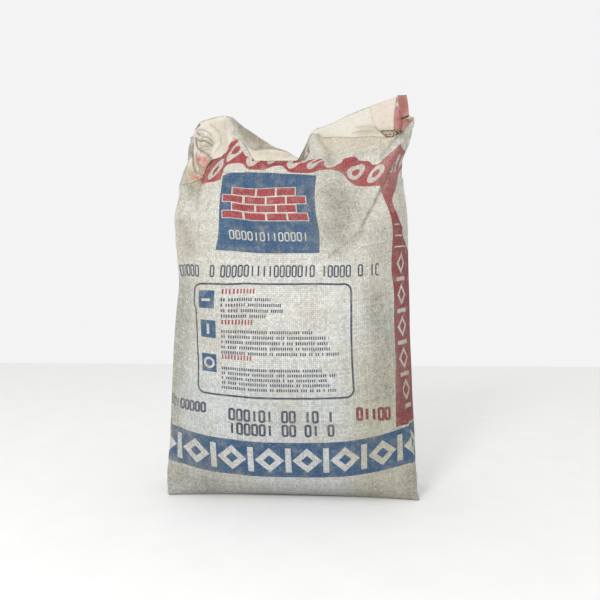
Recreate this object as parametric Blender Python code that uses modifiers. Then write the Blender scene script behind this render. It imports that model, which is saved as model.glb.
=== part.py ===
"""A filled 50 kg cement bag that stands on its folded base.

The bag is a block-bottom sack: a woven tube whose two ends are folded flat and
closed with a cover patch each, and which is filled through a valve at one top
corner. The front faces -Y, +X is to the right of it, +Z is up, and the floor
is z = 0. Everything is in metres.
"""
import bmesh
import bpy
import numpy as np

# The woven tube, as it lies flat: its face, and how deep its ends are folded
FACE_WIDTH = 0.400
FOLD_DEPTH = 0.100
GIRTH = 2 * (FACE_WIDTH + FOLD_DEPTH)

# The cover patches
PATCH_THICKNESS = 0.0008
BASE_PATCH_SIZE = (0.350, 0.060)

# Pieces that touch keep this gap between them, and the valve patch clears the
# curves of the cover patch under it by this much more
GAP = 0.0003
CURVE_CLEARANCE = 0.00015
SACK_BASE = PATCH_THICKNESS + GAP

# Cells of the sack's cage across, front to back and up, and how far the rows
# are drawn towards its two folded ends
CELLS = (22, 8, 18)
ROW_DRAW = 0.25

# The valve patch covers the top's cells from these ones to the right and back
VALVE_PATCH_FIRST_CELL = (18, 3)

# Curves up the sack, as (share of the height, value)
HALF_DEPTH = (
    (0.00, 0.048),
    (0.018, 0.060),
    (0.036, 0.067),
    (0.064, 0.073),
    (0.11, 0.080),
    (0.20, 0.088),
    (0.35, 0.092),
    (0.60, 0.090),
    (0.85, 0.072),
    (1.00, 0.052),
)
FULLNESS = (
    (0.00, 1.005),
    (0.08, 1.008),
    (0.20, 1.014),
    (0.32, 1.008),
    (0.45, 0.985),
    (0.55, 0.955),
    (0.68, 0.936),
    (0.80, 0.950),
    (0.90, 0.965),
    (1.00, 0.935),
)
END_ROUNDNESS = ((0.00, 0.05), (0.10, 0.15), (0.22, 0.60), (0.36, 1.00), (0.78, 1.00), (1.00, 0.30))
FACE_ROUNDNESS = (
    (0.00, 0.02),
    (0.03, 0.75),
    (0.07, 1.15),
    (0.14, 1.25),
    (0.30, 1.05),
    (0.78, 1.00),
    (1.00, 0.30),
)
FACE_CORNER = ((0.00, 3.0), (0.15, 3.2), (0.35, 5.0), (1.00, 5.0))

# How far the sack leans sideways, as (height, shift)
LEAN = (
    (0.000, -0.001),
    (0.060, -0.003),
    (0.150, -0.005),
    (0.250, -0.006),
    (0.340, -0.004),
    (0.410, -0.005),
    (0.465, -0.013),
    (0.520, -0.026),
    (0.560, -0.030),
    (0.600, -0.026),
    (0.700, 0.000),
)

# The belly hangs this far over the middle of the base's long sides, and the
# overhang fades over this share of the height
BASE_RECESS = 0.016
RECESS_FADE = 0.03

# The two creases of the folded top, as (x, height) and (x, y)
FRONT_CREASE = (
    (-0.170, 0.500),
    (-0.155, 0.506),
    (-0.139, 0.519),
    (-0.126, 0.537),
    (-0.112, 0.551),
    (-0.101, 0.561),
    (-0.090, 0.573),
    (-0.082, 0.569),
    (-0.072, 0.556),
    (-0.059, 0.537),
    (-0.028, 0.531),
    (0.012, 0.532),
    (0.044, 0.531),
    (0.064, 0.524),
    (0.075, 0.531),
    (0.095, 0.546),
    (0.133, 0.559),
    (0.153, 0.571),
    (0.175, 0.576),
)
BACK_CREASE = (
    (-0.181, 0.598),
    (-0.168, 0.618),
    (-0.154, 0.625),
    (-0.130, 0.631),
    (-0.108, 0.633),
    (-0.097, 0.622),
    (-0.076, 0.610),
    (-0.056, 0.596),
    (-0.035, 0.583),
    (-0.015, 0.574),
    (-0.006, 0.566),
    (0.003, 0.553),
    (0.013, 0.582),
    (0.027, 0.608),
    (0.043, 0.615),
    (0.068, 0.624),
    (0.088, 0.634),
    (0.130, 0.648),
    (0.171, 0.662),
    (0.200, 0.667),
)
FRONT_CREASE_Y = ((-0.170, -0.045), (-0.090, -0.040), (0.000, -0.054), (0.064, -0.052), (0.170, -0.047))
BACK_CREASE_Y = ((-0.170, 0.024), (-0.100, 0.030), (0.010, 0.040), (0.080, 0.036), (0.200, 0.022))

# The two ends of the folded top, as (share of the way back, x)
TOP_LEFT_X = ((0.00, -0.175), (0.50, -0.182), (1.00, -0.185))
TOP_RIGHT_X = ((0.00, 0.164), (0.25, 0.184), (0.42, 0.199), (0.55, 0.194), (1.00, 0.188))

# The roll of slack cloth along the front of the sunken middle
ROLL_ENDS = (-0.078, 0.006)
ROLL_HEIGHT = 0.026
ROLL_FORWARD = 0.012

# The walls turn into the folded top above this share of the height
TOP_START = 0.76

# Colour, roughness and metallic value of each piece
FINISHES = {
    "sack": ((0.50, 0.50, 0.45), 0.62, 0.0),
    "top_cover_patch": ((0.70, 0.64, 0.54), 0.58, 0.0),
    "valve_patch": ((0.74, 0.66, 0.56), 0.55, 0.0),
    "bottom_cover_patch": ((0.52, 0.50, 0.44), 0.62, 0.0),
}


def read_curve(stops, place):
    """Read a smooth curve through its stops at many places along it."""
    x, y = np.array(stops).T
    slope = np.empty_like(y)
    slope[1:-1] = (y[2:] - y[:-2]) / (x[2:] - x[:-2])
    slope[0] = (y[1] - y[0]) / (x[1] - x[0])
    slope[-1] = (y[-1] - y[-2]) / (x[-1] - x[-2])
    place = np.clip(place, x[0], x[-1])
    i = np.clip(np.searchsorted(x, place, side="right") - 1, 0, len(x) - 2)
    span = x[i + 1] - x[i]
    t = (place - x[i]) / span
    return (
        (2 * t**3 - 3 * t**2 + 1) * y[i]
        + (t**3 - 2 * t**2 + t) * span * slope[i]
        + (3 * t**2 - 2 * t**3) * y[i + 1]
        + (t**3 - t**2) * span * slope[i + 1]
    )


def ease(t):
    """Go from 0 to 1 with a soft start and end."""
    t = np.clip(t, 0.0, 1.0)
    return t * t * (3 - 2 * t)


def section(up):
    """The closed outline at one level, as the share of the girth, x and y.

    It starts at the middle of the front and goes round by the right. The width
    is found from the depth, so that the tube keeps its girth.
    """
    steps = np.linspace(0, 8, 1601)
    corners = (0, 1, 3, 5, 7, 8)
    across = np.interp(steps, corners, (0, 1, 1, -1, -1, 0))
    through = np.interp(steps, corners, (-1, -1, 1, 1, -1, -1))
    half_depth = read_curve(HALF_DEPTH, up)
    end_roundness = read_curve(END_ROUNDNESS, up)
    face_roundness = read_curve(FACE_ROUNDNESS, up)
    girth = GIRTH * read_curve(FULLNESS, up)
    end_bulge = half_depth * (1 - np.sqrt(1 - end_roundness * through**2 / 2))
    bow = np.sqrt(1 - face_roundness * np.abs(across) ** read_curve(FACE_CORNER, up) / 2)
    recess = BASE_RECESS * (1 - np.abs(across) ** 2.5) * np.exp(-up / RECESS_FADE)
    y = through * bow * (half_depth - recess)
    half_width = (GIRTH - 4 * half_depth) / 4
    for _ in range(12):
        x = across * (half_width - end_bulge)
        along = np.concatenate(([0], np.cumsum(np.hypot(np.diff(x), np.diff(y)))))
        half_width += (girth - along[-1]) / 4
    return along / along[-1], x, y


def girth_share(across, through):
    """Where a point of the wall is round the tube, as it lies flat."""
    front = across * FACE_WIDTH / 2
    right = FACE_WIDTH / 2 + (through + 1) / 2 * FOLD_DEPTH
    back = FACE_WIDTH / 2 + FOLD_DEPTH + (1 - across) / 2 * FACE_WIDTH
    left = FACE_WIDTH * 1.5 + FOLD_DEPTH + (1 - through) / 2 * FOLD_DEPTH
    round_by = np.where(through < -0.999, front, np.where(across > 0.999, right, left))
    round_by = np.where(through > 0.999, back, round_by)
    return np.mod(round_by, GIRTH) / GIRTH


def folded_top(across, back):
    """Place points of the folded top: across runs -1 to 1, back runs 0 to 1."""
    left = read_curve(TOP_LEFT_X, back)
    right = read_curve(TOP_RIGHT_X, back)
    x = left + (right - left) * (across + 1) / 2
    front_y = read_curve(FRONT_CREASE_Y, x)
    y = front_y + (read_curve(BACK_CREASE_Y, x) - front_y) * back

    # The middle lies low and turns up late, and the left ear is domed.
    sunken = ease((x + 0.098) / 0.03) * (1 - ease((x - 0.005) / 0.03))
    rise = back * (1 - sunken) + back**2.2 * sunken
    front_z = read_curve(FRONT_CREASE, x)
    z = front_z + (read_curve(BACK_CREASE, x) - front_z) * rise
    z += 0.006 * np.sin(np.pi * back) * (1 - ease((x + 0.115) / 0.03))

    # The roll lies along the sunken middle.
    along = ease((x - ROLL_ENDS[0] + 0.008) / 0.016) * (1 - ease((x - ROLL_ENDS[1] + 0.004) / 0.012))
    roll = along * np.exp(-(((back - 0.16) / 0.15) ** 2)) * ease(back / 0.12)
    return x, y - ROLL_FORWARD * roll, z + ROLL_HEIGHT * roll


def sack_points(across, through, up):
    """Place the cage's points: across and through run -1 to 1, up runs 0 to 1."""
    x = np.empty_like(across)
    y = np.empty_like(across)
    wall = (np.abs(across) > 0.999) | (np.abs(through) > 0.999)
    for level in np.unique(up):
        share, outline_x, outline_y = section(level)
        here = up == level

        def on_wall(outline, a, b):
            return np.interp(girth_share(a, b), share, outline)

        a = across[here]
        b = through[here]
        edge = np.ones_like(a)
        back = (b + 1) / 2
        side = (a + 1) / 2
        front_x = on_wall(outline_x, a, -edge)
        back_x = on_wall(outline_x, a, edge)
        inner_x = front_x * (1 - back) + back_x * back
        inner_y = on_wall(outline_y, a, -edge) * (1 - back) + on_wall(outline_y, a, edge) * back
        corner_left = on_wall(outline_x, -edge, b)
        corner_right = on_wall(outline_x, edge, b)
        inner_x += (corner_left - corner_left[0]) * (1 - side) + (corner_right - corner_right[0]) * side
        x[here] = np.where(wall[here], on_wall(outline_x, a, b), inner_x)
        y[here] = np.where(wall[here], on_wall(outline_y, a, b), inner_y)
    top_x, top_y, top_z = folded_top(across, (through + 1) / 2)
    z = SACK_BASE + up * (top_z - SACK_BASE)
    x += read_curve(LEAN, z)
    near_top = ease((up - TOP_START) / (1 - TOP_START))
    x += (top_x - x) * near_top
    y += (top_y - y) * near_top
    return np.stack((x, y, z), axis=1)


def finish(name):
    """Make the material of one piece."""
    colour, roughness, metallic = FINISHES[name]
    material = bpy.data.materials.new(name + "_finish")
    material.use_nodes = True
    shader = material.node_tree.nodes["Principled BSDF"]
    shader.inputs["Base Color"].default_value = (*colour, 1.0)
    shader.inputs["Roughness"].default_value = roughness
    shader.inputs["Metallic"].default_value = metallic
    material.diffuse_color = (*colour, 1.0)
    return material


def add_piece(name, bm, collection):
    """Turn a bmesh into a named, finished piece."""
    mesh = bpy.data.meshes.new(name)
    bm.to_mesh(mesh)
    bm.free()
    mesh.materials.append(finish(name))
    piece = bpy.data.objects.new(name, mesh)
    collection.objects.link(piece)
    return piece


def cut_box_into_cells(bm, cells):
    """Divide a cube's faces into the cage's cells."""
    for axis, count in enumerate(cells):
        along = [
            e
            for e in bm.edges
            if abs((e.verts[0].co - e.verts[1].co).normalized()[axis]) > 0.99
        ]
        bmesh.ops.subdivide_edges(bm, edges=along, cuts=count - 1, use_grid_fill=True)


def build_sack(collection):
    """The filled woven sack, as one soft solid."""
    bm = bmesh.new()
    bmesh.ops.create_cube(bm, size=2.0)
    cut_box_into_cells(bm, CELLS)
    is_top = bm.faces.layers.int.new("folded_top")
    column = bm.faces.layers.int.new("column")
    row = bm.faces.layers.int.new("row")
    for face in bm.faces:
        across, through, _ = face.calc_center_median()
        face[is_top] = int(all(v.co.z > 0.999 for v in face.verts))
        face[column] = int((across + 1) / 2 * CELLS[0])
        face[row] = int((through + 1) / 2 * CELLS[1])
        face.smooth = True
    across, through, level = np.array([v.co[:] for v in bm.verts]).T
    share = np.round((level + 1) / 2, 5)
    up = share + ROW_DRAW * (ease(share) - share)
    for vert, point in zip(bm.verts, sack_points(across, through, up)):
        vert.co = point
    sack = add_piece("sack", bm, collection)
    smooth = sack.modifiers.new("soft_form", "SUBSURF")
    smooth.levels = 1
    smooth.render_levels = 1
    return sack


def copy_folded_top(sack):
    """Copy the faces of the sack's folded top, one ring in from its creases."""
    bpy.context.view_layer.update()
    evaluated = sack.evaluated_get(bpy.context.evaluated_depsgraph_get())
    bm = bmesh.new()
    bm.from_mesh(evaluated.to_mesh())
    evaluated.to_mesh_clear()
    bm.normal_update()
    is_top = bm.faces.layers.int["folded_top"]
    normals = {tuple(v.co): v.normal.copy() for v in bm.verts}
    others = [f for f in bm.faces if not f[is_top]]
    bmesh.ops.delete(bm, geom=others, context="FACES")
    rim = {v for e in bm.edges if e.is_boundary for v in e.verts}
    outer = [f for f in bm.faces if any(v in rim for v in f.verts)]
    bmesh.ops.delete(bm, geom=outer, context="FACES")
    return bm, normals


def build_top_patch(name, sack, lift, first_cell, collection):
    """A thin patch on the folded top, from one cell of it to the right and back."""
    bm, normals = copy_folded_top(sack)
    column = bm.faces.layers.int["column"]
    row = bm.faces.layers.int["row"]
    outside = [f for f in bm.faces if f[column] < first_cell[0] or f[row] < first_cell[1]]
    bmesh.ops.delete(bm, geom=outside, context="FACES")
    for vert in bm.verts:
        vert.co += normals[tuple(vert.co)] * lift
    patch = add_piece(name, bm, collection)
    shell = patch.modifiers.new("thickness", "SOLIDIFY")
    shell.thickness = PATCH_THICKNESS
    shell.offset = 1.0
    return patch


def build_bottom_patch(collection):
    """The flat patch that closes the base and carries the bag."""
    bm = bmesh.new()
    bmesh.ops.create_cube(bm, size=1.0)
    bmesh.ops.scale(bm, vec=(*BASE_PATCH_SIZE, PATCH_THICKNESS), verts=bm.verts)
    patch = add_piece("bottom_cover_patch", bm, collection)
    patch.location.z = PATCH_THICKNESS / 2
    return patch


def main():
    for old in list(bpy.data.objects):
        bpy.data.objects.remove(old, do_unlink=True)
    collection = bpy.data.collections.new("cement_bag")
    bpy.context.scene.collection.children.link(collection)
    sack = build_sack(collection)
    build_top_patch("top_cover_patch", sack, GAP, (0, 0), collection)
    valve_lift = GAP + PATCH_THICKNESS + GAP + CURVE_CLEARANCE
    build_top_patch("valve_patch", sack, valve_lift, VALVE_PATCH_FIRST_CELL, collection)
    build_bottom_patch(collection)


main()
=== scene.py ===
# %% [markdown]
# # A cement bag, from flat tube to standing sack
#
# A block-bottom cement bag starts as a tube of woven plastic tape. Both ends are
# folded flat, and a cover patch is welded over each. It is filled through a valve
# at one top corner, so it is never sewn. This lesson builds the bag in that order:
# first the form of the tube, then what folding, filling and slumping do to it,
# then the patches, the print and the dust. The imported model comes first, because
# every piece here has to sit where the CAD says.

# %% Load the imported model
import math

import bpy
import numpy as np
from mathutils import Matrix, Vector, noise
from mathutils.bvhtree import BVHTree


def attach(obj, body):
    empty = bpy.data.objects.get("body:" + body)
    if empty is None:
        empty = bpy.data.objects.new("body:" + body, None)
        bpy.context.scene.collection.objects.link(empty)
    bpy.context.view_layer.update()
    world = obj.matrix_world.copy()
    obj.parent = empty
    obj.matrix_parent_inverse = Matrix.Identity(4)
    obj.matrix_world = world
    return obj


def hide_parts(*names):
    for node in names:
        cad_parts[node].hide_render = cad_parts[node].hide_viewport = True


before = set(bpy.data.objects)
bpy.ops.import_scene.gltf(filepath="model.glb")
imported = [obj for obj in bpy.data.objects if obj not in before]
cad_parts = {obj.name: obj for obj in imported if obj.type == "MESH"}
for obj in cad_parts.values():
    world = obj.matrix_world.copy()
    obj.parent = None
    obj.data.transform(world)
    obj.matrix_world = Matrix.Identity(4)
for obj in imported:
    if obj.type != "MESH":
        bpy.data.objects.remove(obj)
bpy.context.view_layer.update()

# %% [markdown]
# ## The camera
#
# The bag was photographed level, from about a metre in front of its middle and a
# little from the right. With the camera fixed first, a place in the picture can
# be turned into a place on the bag, and that is how the folds and the print get
# their positions further down.

# %% Place the camera
AIM = np.array((0.0119, -0.05, 0.315))
CAMERA_DISTANCE = 0.9975
CAMERA_TURN = math.radians(4)
LENS = 37.7
IMAGE = 600

to_camera = np.array((math.sin(CAMERA_TURN), -math.cos(CAMERA_TURN), 0))
to_right = np.array((math.cos(CAMERA_TURN), math.sin(CAMERA_TURN), 0))
camera_place = AIM + to_camera * CAMERA_DISTANCE
camera = bpy.data.objects.new("camera", bpy.data.cameras.new("camera"))
bpy.context.scene.collection.objects.link(camera)
bpy.context.scene.camera = camera
camera.data.lens = LENS
camera.location = camera_place
camera.rotation_euler = (math.pi / 2, 0, CAMERA_TURN)
FOCAL_PIXELS = IMAGE * LENS / camera.data.sensor_width
print("pixels per metre at the aim point", round(FOCAL_PIXELS / CAMERA_DISTANCE, 1))


# %% Turn points into pixels, and pixels into rays
def pixels_of(points):
    """Where rows of points show in the picture, across and down."""
    from_camera = points - camera_place
    depth = from_camera @ -to_camera
    across = IMAGE / 2 + FOCAL_PIXELS * (from_camera @ to_right) / depth
    down = IMAGE / 2 - FOCAL_PIXELS * from_camera[..., 2] / depth
    return across, down


def ray_through(across, down):
    """The direction from the camera through one place in the picture."""
    direction = to_right * (across - IMAGE / 2) - to_camera * FOCAL_PIXELS
    direction = direction + np.array((0, 0, IMAGE / 2 - down))
    return Vector(direction).normalized()


# %% [markdown]
# ## The form of the filled tube
#
# Woven tape hardly stretches, so the tube keeps its girth of one metre whatever
# the filling does. Each level of the bag is therefore a closed outline of fixed
# length: a flat rectangle at the folded base, and a fat cushion with round ends
# at the belly. Curves up the bag give its depth and roundness, and the width is
# whatever the girth leaves over. A sculpted cube would need a guess at all three.

# %% The tube's own sizes
FACE_WIDTH = 0.400
FOLD_DEPTH = 0.100
GIRTH = 2 * (FACE_WIDTH + FOLD_DEPTH)
SACK_BASE = 0.0011

# Curves up the bag, as (share of the height, value)
HALF_DEPTH = ((0.00, 0.048), (0.018, 0.060), (0.036, 0.067), (0.064, 0.073), (0.11, 0.080),
              (0.20, 0.088), (0.35, 0.092), (0.60, 0.090), (0.85, 0.072), (1.00, 0.052))
FULLNESS = ((0.00, 1.003), (0.08, 1.006), (0.20, 1.010), (0.32, 1.000), (0.45, 0.978), (0.55, 0.961),
            (0.68, 0.938), (0.79, 0.958), (0.86, 0.932), (0.93, 0.905), (1.00, 0.880))
END_ROUNDNESS = ((0.00, 0.05), (0.10, 0.15), (0.22, 0.60), (0.36, 1.00), (0.78, 1.00), (1.00, 0.30))
FACE_ROUNDNESS = ((0.00, 0.02), (0.03, 0.75), (0.07, 1.15), (0.14, 1.25), (0.30, 1.05), (0.78, 1.00),
                  (1.00, 0.30))
FACE_CORNER = ((0.00, 3.0), (0.15, 3.2), (0.35, 5.0), (1.00, 5.0))

# The sideways lean, as (height, shift), and the belly's overhang at the base
LEAN = ((0.000, -0.0025), (0.060, -0.004), (0.150, -0.006), (0.250, -0.0075), (0.340, -0.005),
        (0.410, -0.005), (0.465, -0.0145), (0.520, -0.029), (0.560, -0.030), (0.600, -0.026),
        (0.700, 0.000))
BASE_CORNER = 0.009
BASE_RECESS = 0.016
RECESS_FADE = 0.03
OUTLINE_POINTS = 1601
GIRTH_ROUNDS = 12


# %% Read a curve, and find the outline at one level
def read_curve(stops, place):
    """Read a smooth curve through its stops at many places along it."""
    x, y = np.array(stops, float).T
    slope = np.empty_like(y)
    slope[1:-1] = (y[2:] - y[:-2]) / (x[2:] - x[:-2])
    slope[0] = (y[1] - y[0]) / (x[1] - x[0])
    slope[-1] = (y[-1] - y[-2]) / (x[-1] - x[-2])
    place = np.clip(place, x[0], x[-1])
    i = np.clip(np.searchsorted(x, place, side="right") - 1, 0, len(x) - 2)
    span = x[i + 1] - x[i]
    t = (place - x[i]) / span
    return ((2 * t**3 - 3 * t**2 + 1) * y[i] + (t**3 - 2 * t**2 + t) * span * slope[i]
            + (3 * t**2 - 2 * t**3) * y[i + 1] + (t**3 - t**2) * span * slope[i + 1])


def ease(t):
    """Go from 0 to 1 with a soft start and end."""
    t = np.clip(t, 0.0, 1.0)
    return t * t * (3 - 2 * t)


def section(up):
    """The closed outline at one level, as the share of the girth, x and y."""
    steps = np.linspace(0, 8, OUTLINE_POINTS)
    corners = (0, 1, 3, 5, 7, 8)
    across = np.interp(steps, corners, (0, 1, 1, -1, -1, 0))
    through = np.interp(steps, corners, (-1, -1, 1, 1, -1, -1))
    half_depth = read_curve(HALF_DEPTH, up)
    end_bulge = half_depth * (1 - np.sqrt(1 - read_curve(END_ROUNDNESS, up) * through**2 / 2))
    corner = np.abs(across) ** read_curve(FACE_CORNER, up)
    recess = BASE_RECESS * (1 - np.abs(across) ** 2.5) * np.exp(-up / RECESS_FADE)
    bow = np.sqrt(1 - read_curve(FACE_ROUNDNESS, up) * corner / 2)
    y = through * bow * (half_depth - recess)
    half_width = (GIRTH - 4 * half_depth) / 4
    for _ in range(GIRTH_ROUNDS):
        x = across * (half_width - end_bulge)
        along = np.concatenate(([0], np.cumsum(np.hypot(np.diff(x), np.diff(y)))))
        half_width += (GIRTH * read_curve(FULLNESS, up) - along[-1]) / 4
    return along / along[-1], x, y


widest = max(section(up)[1].max() for up in np.linspace(0, 1, 21))
print("widest level", round(2 * widest * 1000), "mm across, girth", GIRTH, "m")

# %% [markdown]
# ## The folded top
#
# The filled bag has slack at its top, and the flat end has slumped between two
# standing corners. Its front and back creases are two curves in space, and the
# folded end spans them. A roll of slack cloth lies along the sunken middle.

# %% The creases and ends of the top, as (x, height), (x, y) and (share of the way back, x)
FRONT_CREASE = ((-0.170, 0.500), (-0.155, 0.506), (-0.139, 0.519), (-0.126, 0.537), (-0.112, 0.551),
                (-0.101, 0.561), (-0.090, 0.573), (-0.082, 0.569), (-0.072, 0.556), (-0.059, 0.537),
                (-0.028, 0.531), (0.012, 0.532), (0.044, 0.531), (0.064, 0.524), (0.075, 0.531),
                (0.095, 0.546), (0.133, 0.559), (0.153, 0.571), (0.175, 0.576))
BACK_CREASE = ((-0.181, 0.598), (-0.168, 0.620), (-0.154, 0.6275), (-0.132, 0.633), (-0.120, 0.6335),
               (-0.108, 0.628), (-0.097, 0.619), (-0.077, 0.606), (-0.056, 0.592), (-0.037, 0.581),
               (-0.015, 0.573), (-0.006, 0.566), (0.003, 0.553), (0.013, 0.582), (0.027, 0.608),
               (0.043, 0.615), (0.068, 0.624), (0.088, 0.634), (0.130, 0.648), (0.171, 0.660),
               (0.200, 0.6615))
FRONT_CREASE_Y = ((-0.170, -0.045), (-0.090, -0.040), (0.000, -0.054), (0.064, -0.052), (0.170, -0.047))
BACK_CREASE_Y = ((-0.170, 0.024), (-0.100, 0.030), (0.010, 0.040), (0.080, 0.036), (0.200, 0.022))
TOP_LEFT_X = ((0.00, -0.1865), (0.25, -0.1825), (0.50, -0.1765), (0.75, -0.1775), (0.92, -0.184),
              (1.00, -0.185))
TOP_RIGHT_X = ((0.00, 0.164), (0.25, 0.183), (0.40, 0.1965), (0.47, 0.188), (0.60, 0.185),
               (0.80, 0.184), (1.00, 0.186))
ROLL_HEIGHT = ((-0.076, 0.000), (-0.068, 0.009), (-0.058, 0.019), (-0.045, 0.024), (-0.028, 0.025),
               (-0.012, 0.022), (0.000, 0.015), (0.009, 0.009), (0.018, 0.000))
ROLL_FORWARD = 0.45
ROLL_BACK = 0.16
ROLL_SPREAD = 0.15
SUNKEN_LEFT = -0.098
SUNKEN_RIGHT = 0.005
SUNKEN_FADE = 0.03
LEFT_CORNER_END = -0.115
LEFT_CORNER_SWELL = 0.006
TOP_START = 0.76


# %% Place any point of the bag from its place on a box
def folded_top(across, back):
    """Place points of the folded top: across runs -1 to 1, back runs 0 to 1."""
    left = read_curve(TOP_LEFT_X, back)
    x = left + (read_curve(TOP_RIGHT_X, back) - left) * (across + 1) / 2
    front_y = read_curve(FRONT_CREASE_Y, x)
    y = front_y + (read_curve(BACK_CREASE_Y, x) - front_y) * back
    sunken = ease((x - SUNKEN_LEFT) / SUNKEN_FADE) * (1 - ease((x - SUNKEN_RIGHT) / SUNKEN_FADE))
    rise = back * (1 - sunken) + back**2.2 * sunken
    front_z = read_curve(FRONT_CREASE, x)
    z = front_z + (read_curve(BACK_CREASE, x) - front_z) * rise
    z += LEFT_CORNER_SWELL * np.sin(np.pi * back) * (1 - ease((x - LEFT_CORNER_END) / SUNKEN_FADE))
    roll = read_curve(ROLL_HEIGHT, x)
    forward = ROLL_FORWARD * roll * np.sin(np.pi * np.clip(back / 0.20, 0, 1))
    rolled = roll * np.exp(-(((back - ROLL_BACK) / ROLL_SPREAD) ** 2)) * ease(back / 0.12)
    return x, y - forward, z + rolled


def girth_share(across, through):
    """Where a point of the wall is round the tube, as it lies flat."""
    front = across * FACE_WIDTH / 2
    right = FACE_WIDTH / 2 + (through + 1) / 2 * FOLD_DEPTH
    back = FACE_WIDTH / 2 + FOLD_DEPTH + (1 - across) / 2 * FACE_WIDTH
    left = FACE_WIDTH * 1.5 + FOLD_DEPTH + (1 - through) / 2 * FOLD_DEPTH
    round_by = np.where(through < -0.999, front, np.where(across > 0.999, right, left))
    round_by = np.where(through > 0.999, back, round_by)
    return np.mod(round_by, GIRTH) / GIRTH


def sack_points(across, through, up):
    """Place points of the bag: across and through run -1 to 1, up runs 0 to 1."""
    x, y = np.empty((2, len(across)))
    wall = (np.abs(across) > 0.999) | (np.abs(through) > 0.999)
    for level in np.unique(up):
        share, outline_x, outline_y = section(level)
        here = up == level
        a, b = across[here], through[here]
        edge = np.ones_like(a)
        back = (b + 1) / 2
        front_at, back_at = girth_share(a, -edge), girth_share(a, edge)
        for row, outline in ((x, outline_x), (y, outline_y)):
            inner = np.interp(front_at, share, outline) * (1 - back)
            inner += np.interp(back_at, share, outline) * back
            row[here] = np.where(wall[here], np.interp(girth_share(a, b), share, outline), inner)
    top_x, top_y, top_z = folded_top(across, (through + 1) / 2)
    z = SACK_BASE + up * (top_z - SACK_BASE)
    cut = np.clip(1 - z / BASE_CORNER, 0, 1)
    x += read_curve(LEAN, z) + BASE_CORNER * (1 - np.sqrt(1 - cut**2)) * np.clip(-across, 0, 1) ** 2
    near_top = ease((up - TOP_START) / (1 - TOP_START))
    return np.stack((x + (top_x - x) * near_top, y + (top_y - y) * near_top, z), axis=1)


# %% [markdown]
# ## A lattice of quads
#
# The bag's skin is the surface of a box of cells, bent into shape. Numbering the
# box's surface points in a three-way array gives every point its place on the
# tube, so later steps can ask for a column, a level or the folded top by index.
# The fine lattice has cells of two to four millimetres, about as wide as a tape
# of the weave. The cloth is simulated on every second point of it.

# %% Number the surface of a box of cells
CELLS = np.array((160, 48, 184))
ROWS_TOWARDS_TOP = 0.30


def box_lattice(cells):
    """Number the points on the surface of a box of cells, and list its quads."""
    outside = np.ones(cells + 1, bool)
    outside[1:-1, 1:-1, 1:-1] = False
    number = np.full(outside.shape, -1)
    number[outside] = np.arange(outside.sum())
    quads = []
    for axis in range(3):
        for end in (0, -1):
            side = np.take(number, end, axis)
            ring = [side[:-1, :-1], side[1:, :-1], side[1:, 1:], side[:-1, 1:]]
            if (end == 0) != (axis == 1):
                ring.reverse()
            quads.append(np.stack([corner.ravel() for corner in ring], axis=1))
    return number, np.concatenate(quads), np.argwhere(outside)


def corner_normals(points, quads):
    """The outward direction at each point."""
    across = points[quads[:, 2]] - points[quads[:, 0]]
    down = points[quads[:, 3]] - points[quads[:, 1]]
    faces = np.cross(across, down)
    normals = np.zeros_like(points)
    for corner in range(4):
        for axis in range(3):
            normals[:, axis] += np.bincount(quads[:, corner], faces[:, axis], len(points))
    return normals / np.linalg.norm(normals, axis=1, keepdims=True)


def soften(values, quads, times):
    """Average rows of values with their neighbours, a number of times."""
    ends = np.concatenate([quads[:, (k, (k + 1) % 4)] for k in range(4)])
    count = np.bincount(ends[:, 0], minlength=len(values))[:, None]
    for _ in range(times):
        sums = [np.bincount(ends[:, 0], column[ends[:, 1]], len(values)) for column in values.T]
        values = 0.5 * values + 0.5 * np.stack(sums, axis=1) / count
    return values


number, quads, index = box_lattice(CELLS)
share = index / CELLS
share[:, 2] += ROWS_TOWARDS_TOP * share[:, 2] * (1 - share[:, 2])
smooth_form = sack_points(2 * share[:, 0] - 1, 2 * share[:, 1] - 1, share[:, 2])
print("lattice of", len(smooth_form), "points and", len(quads), "quads")
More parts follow.
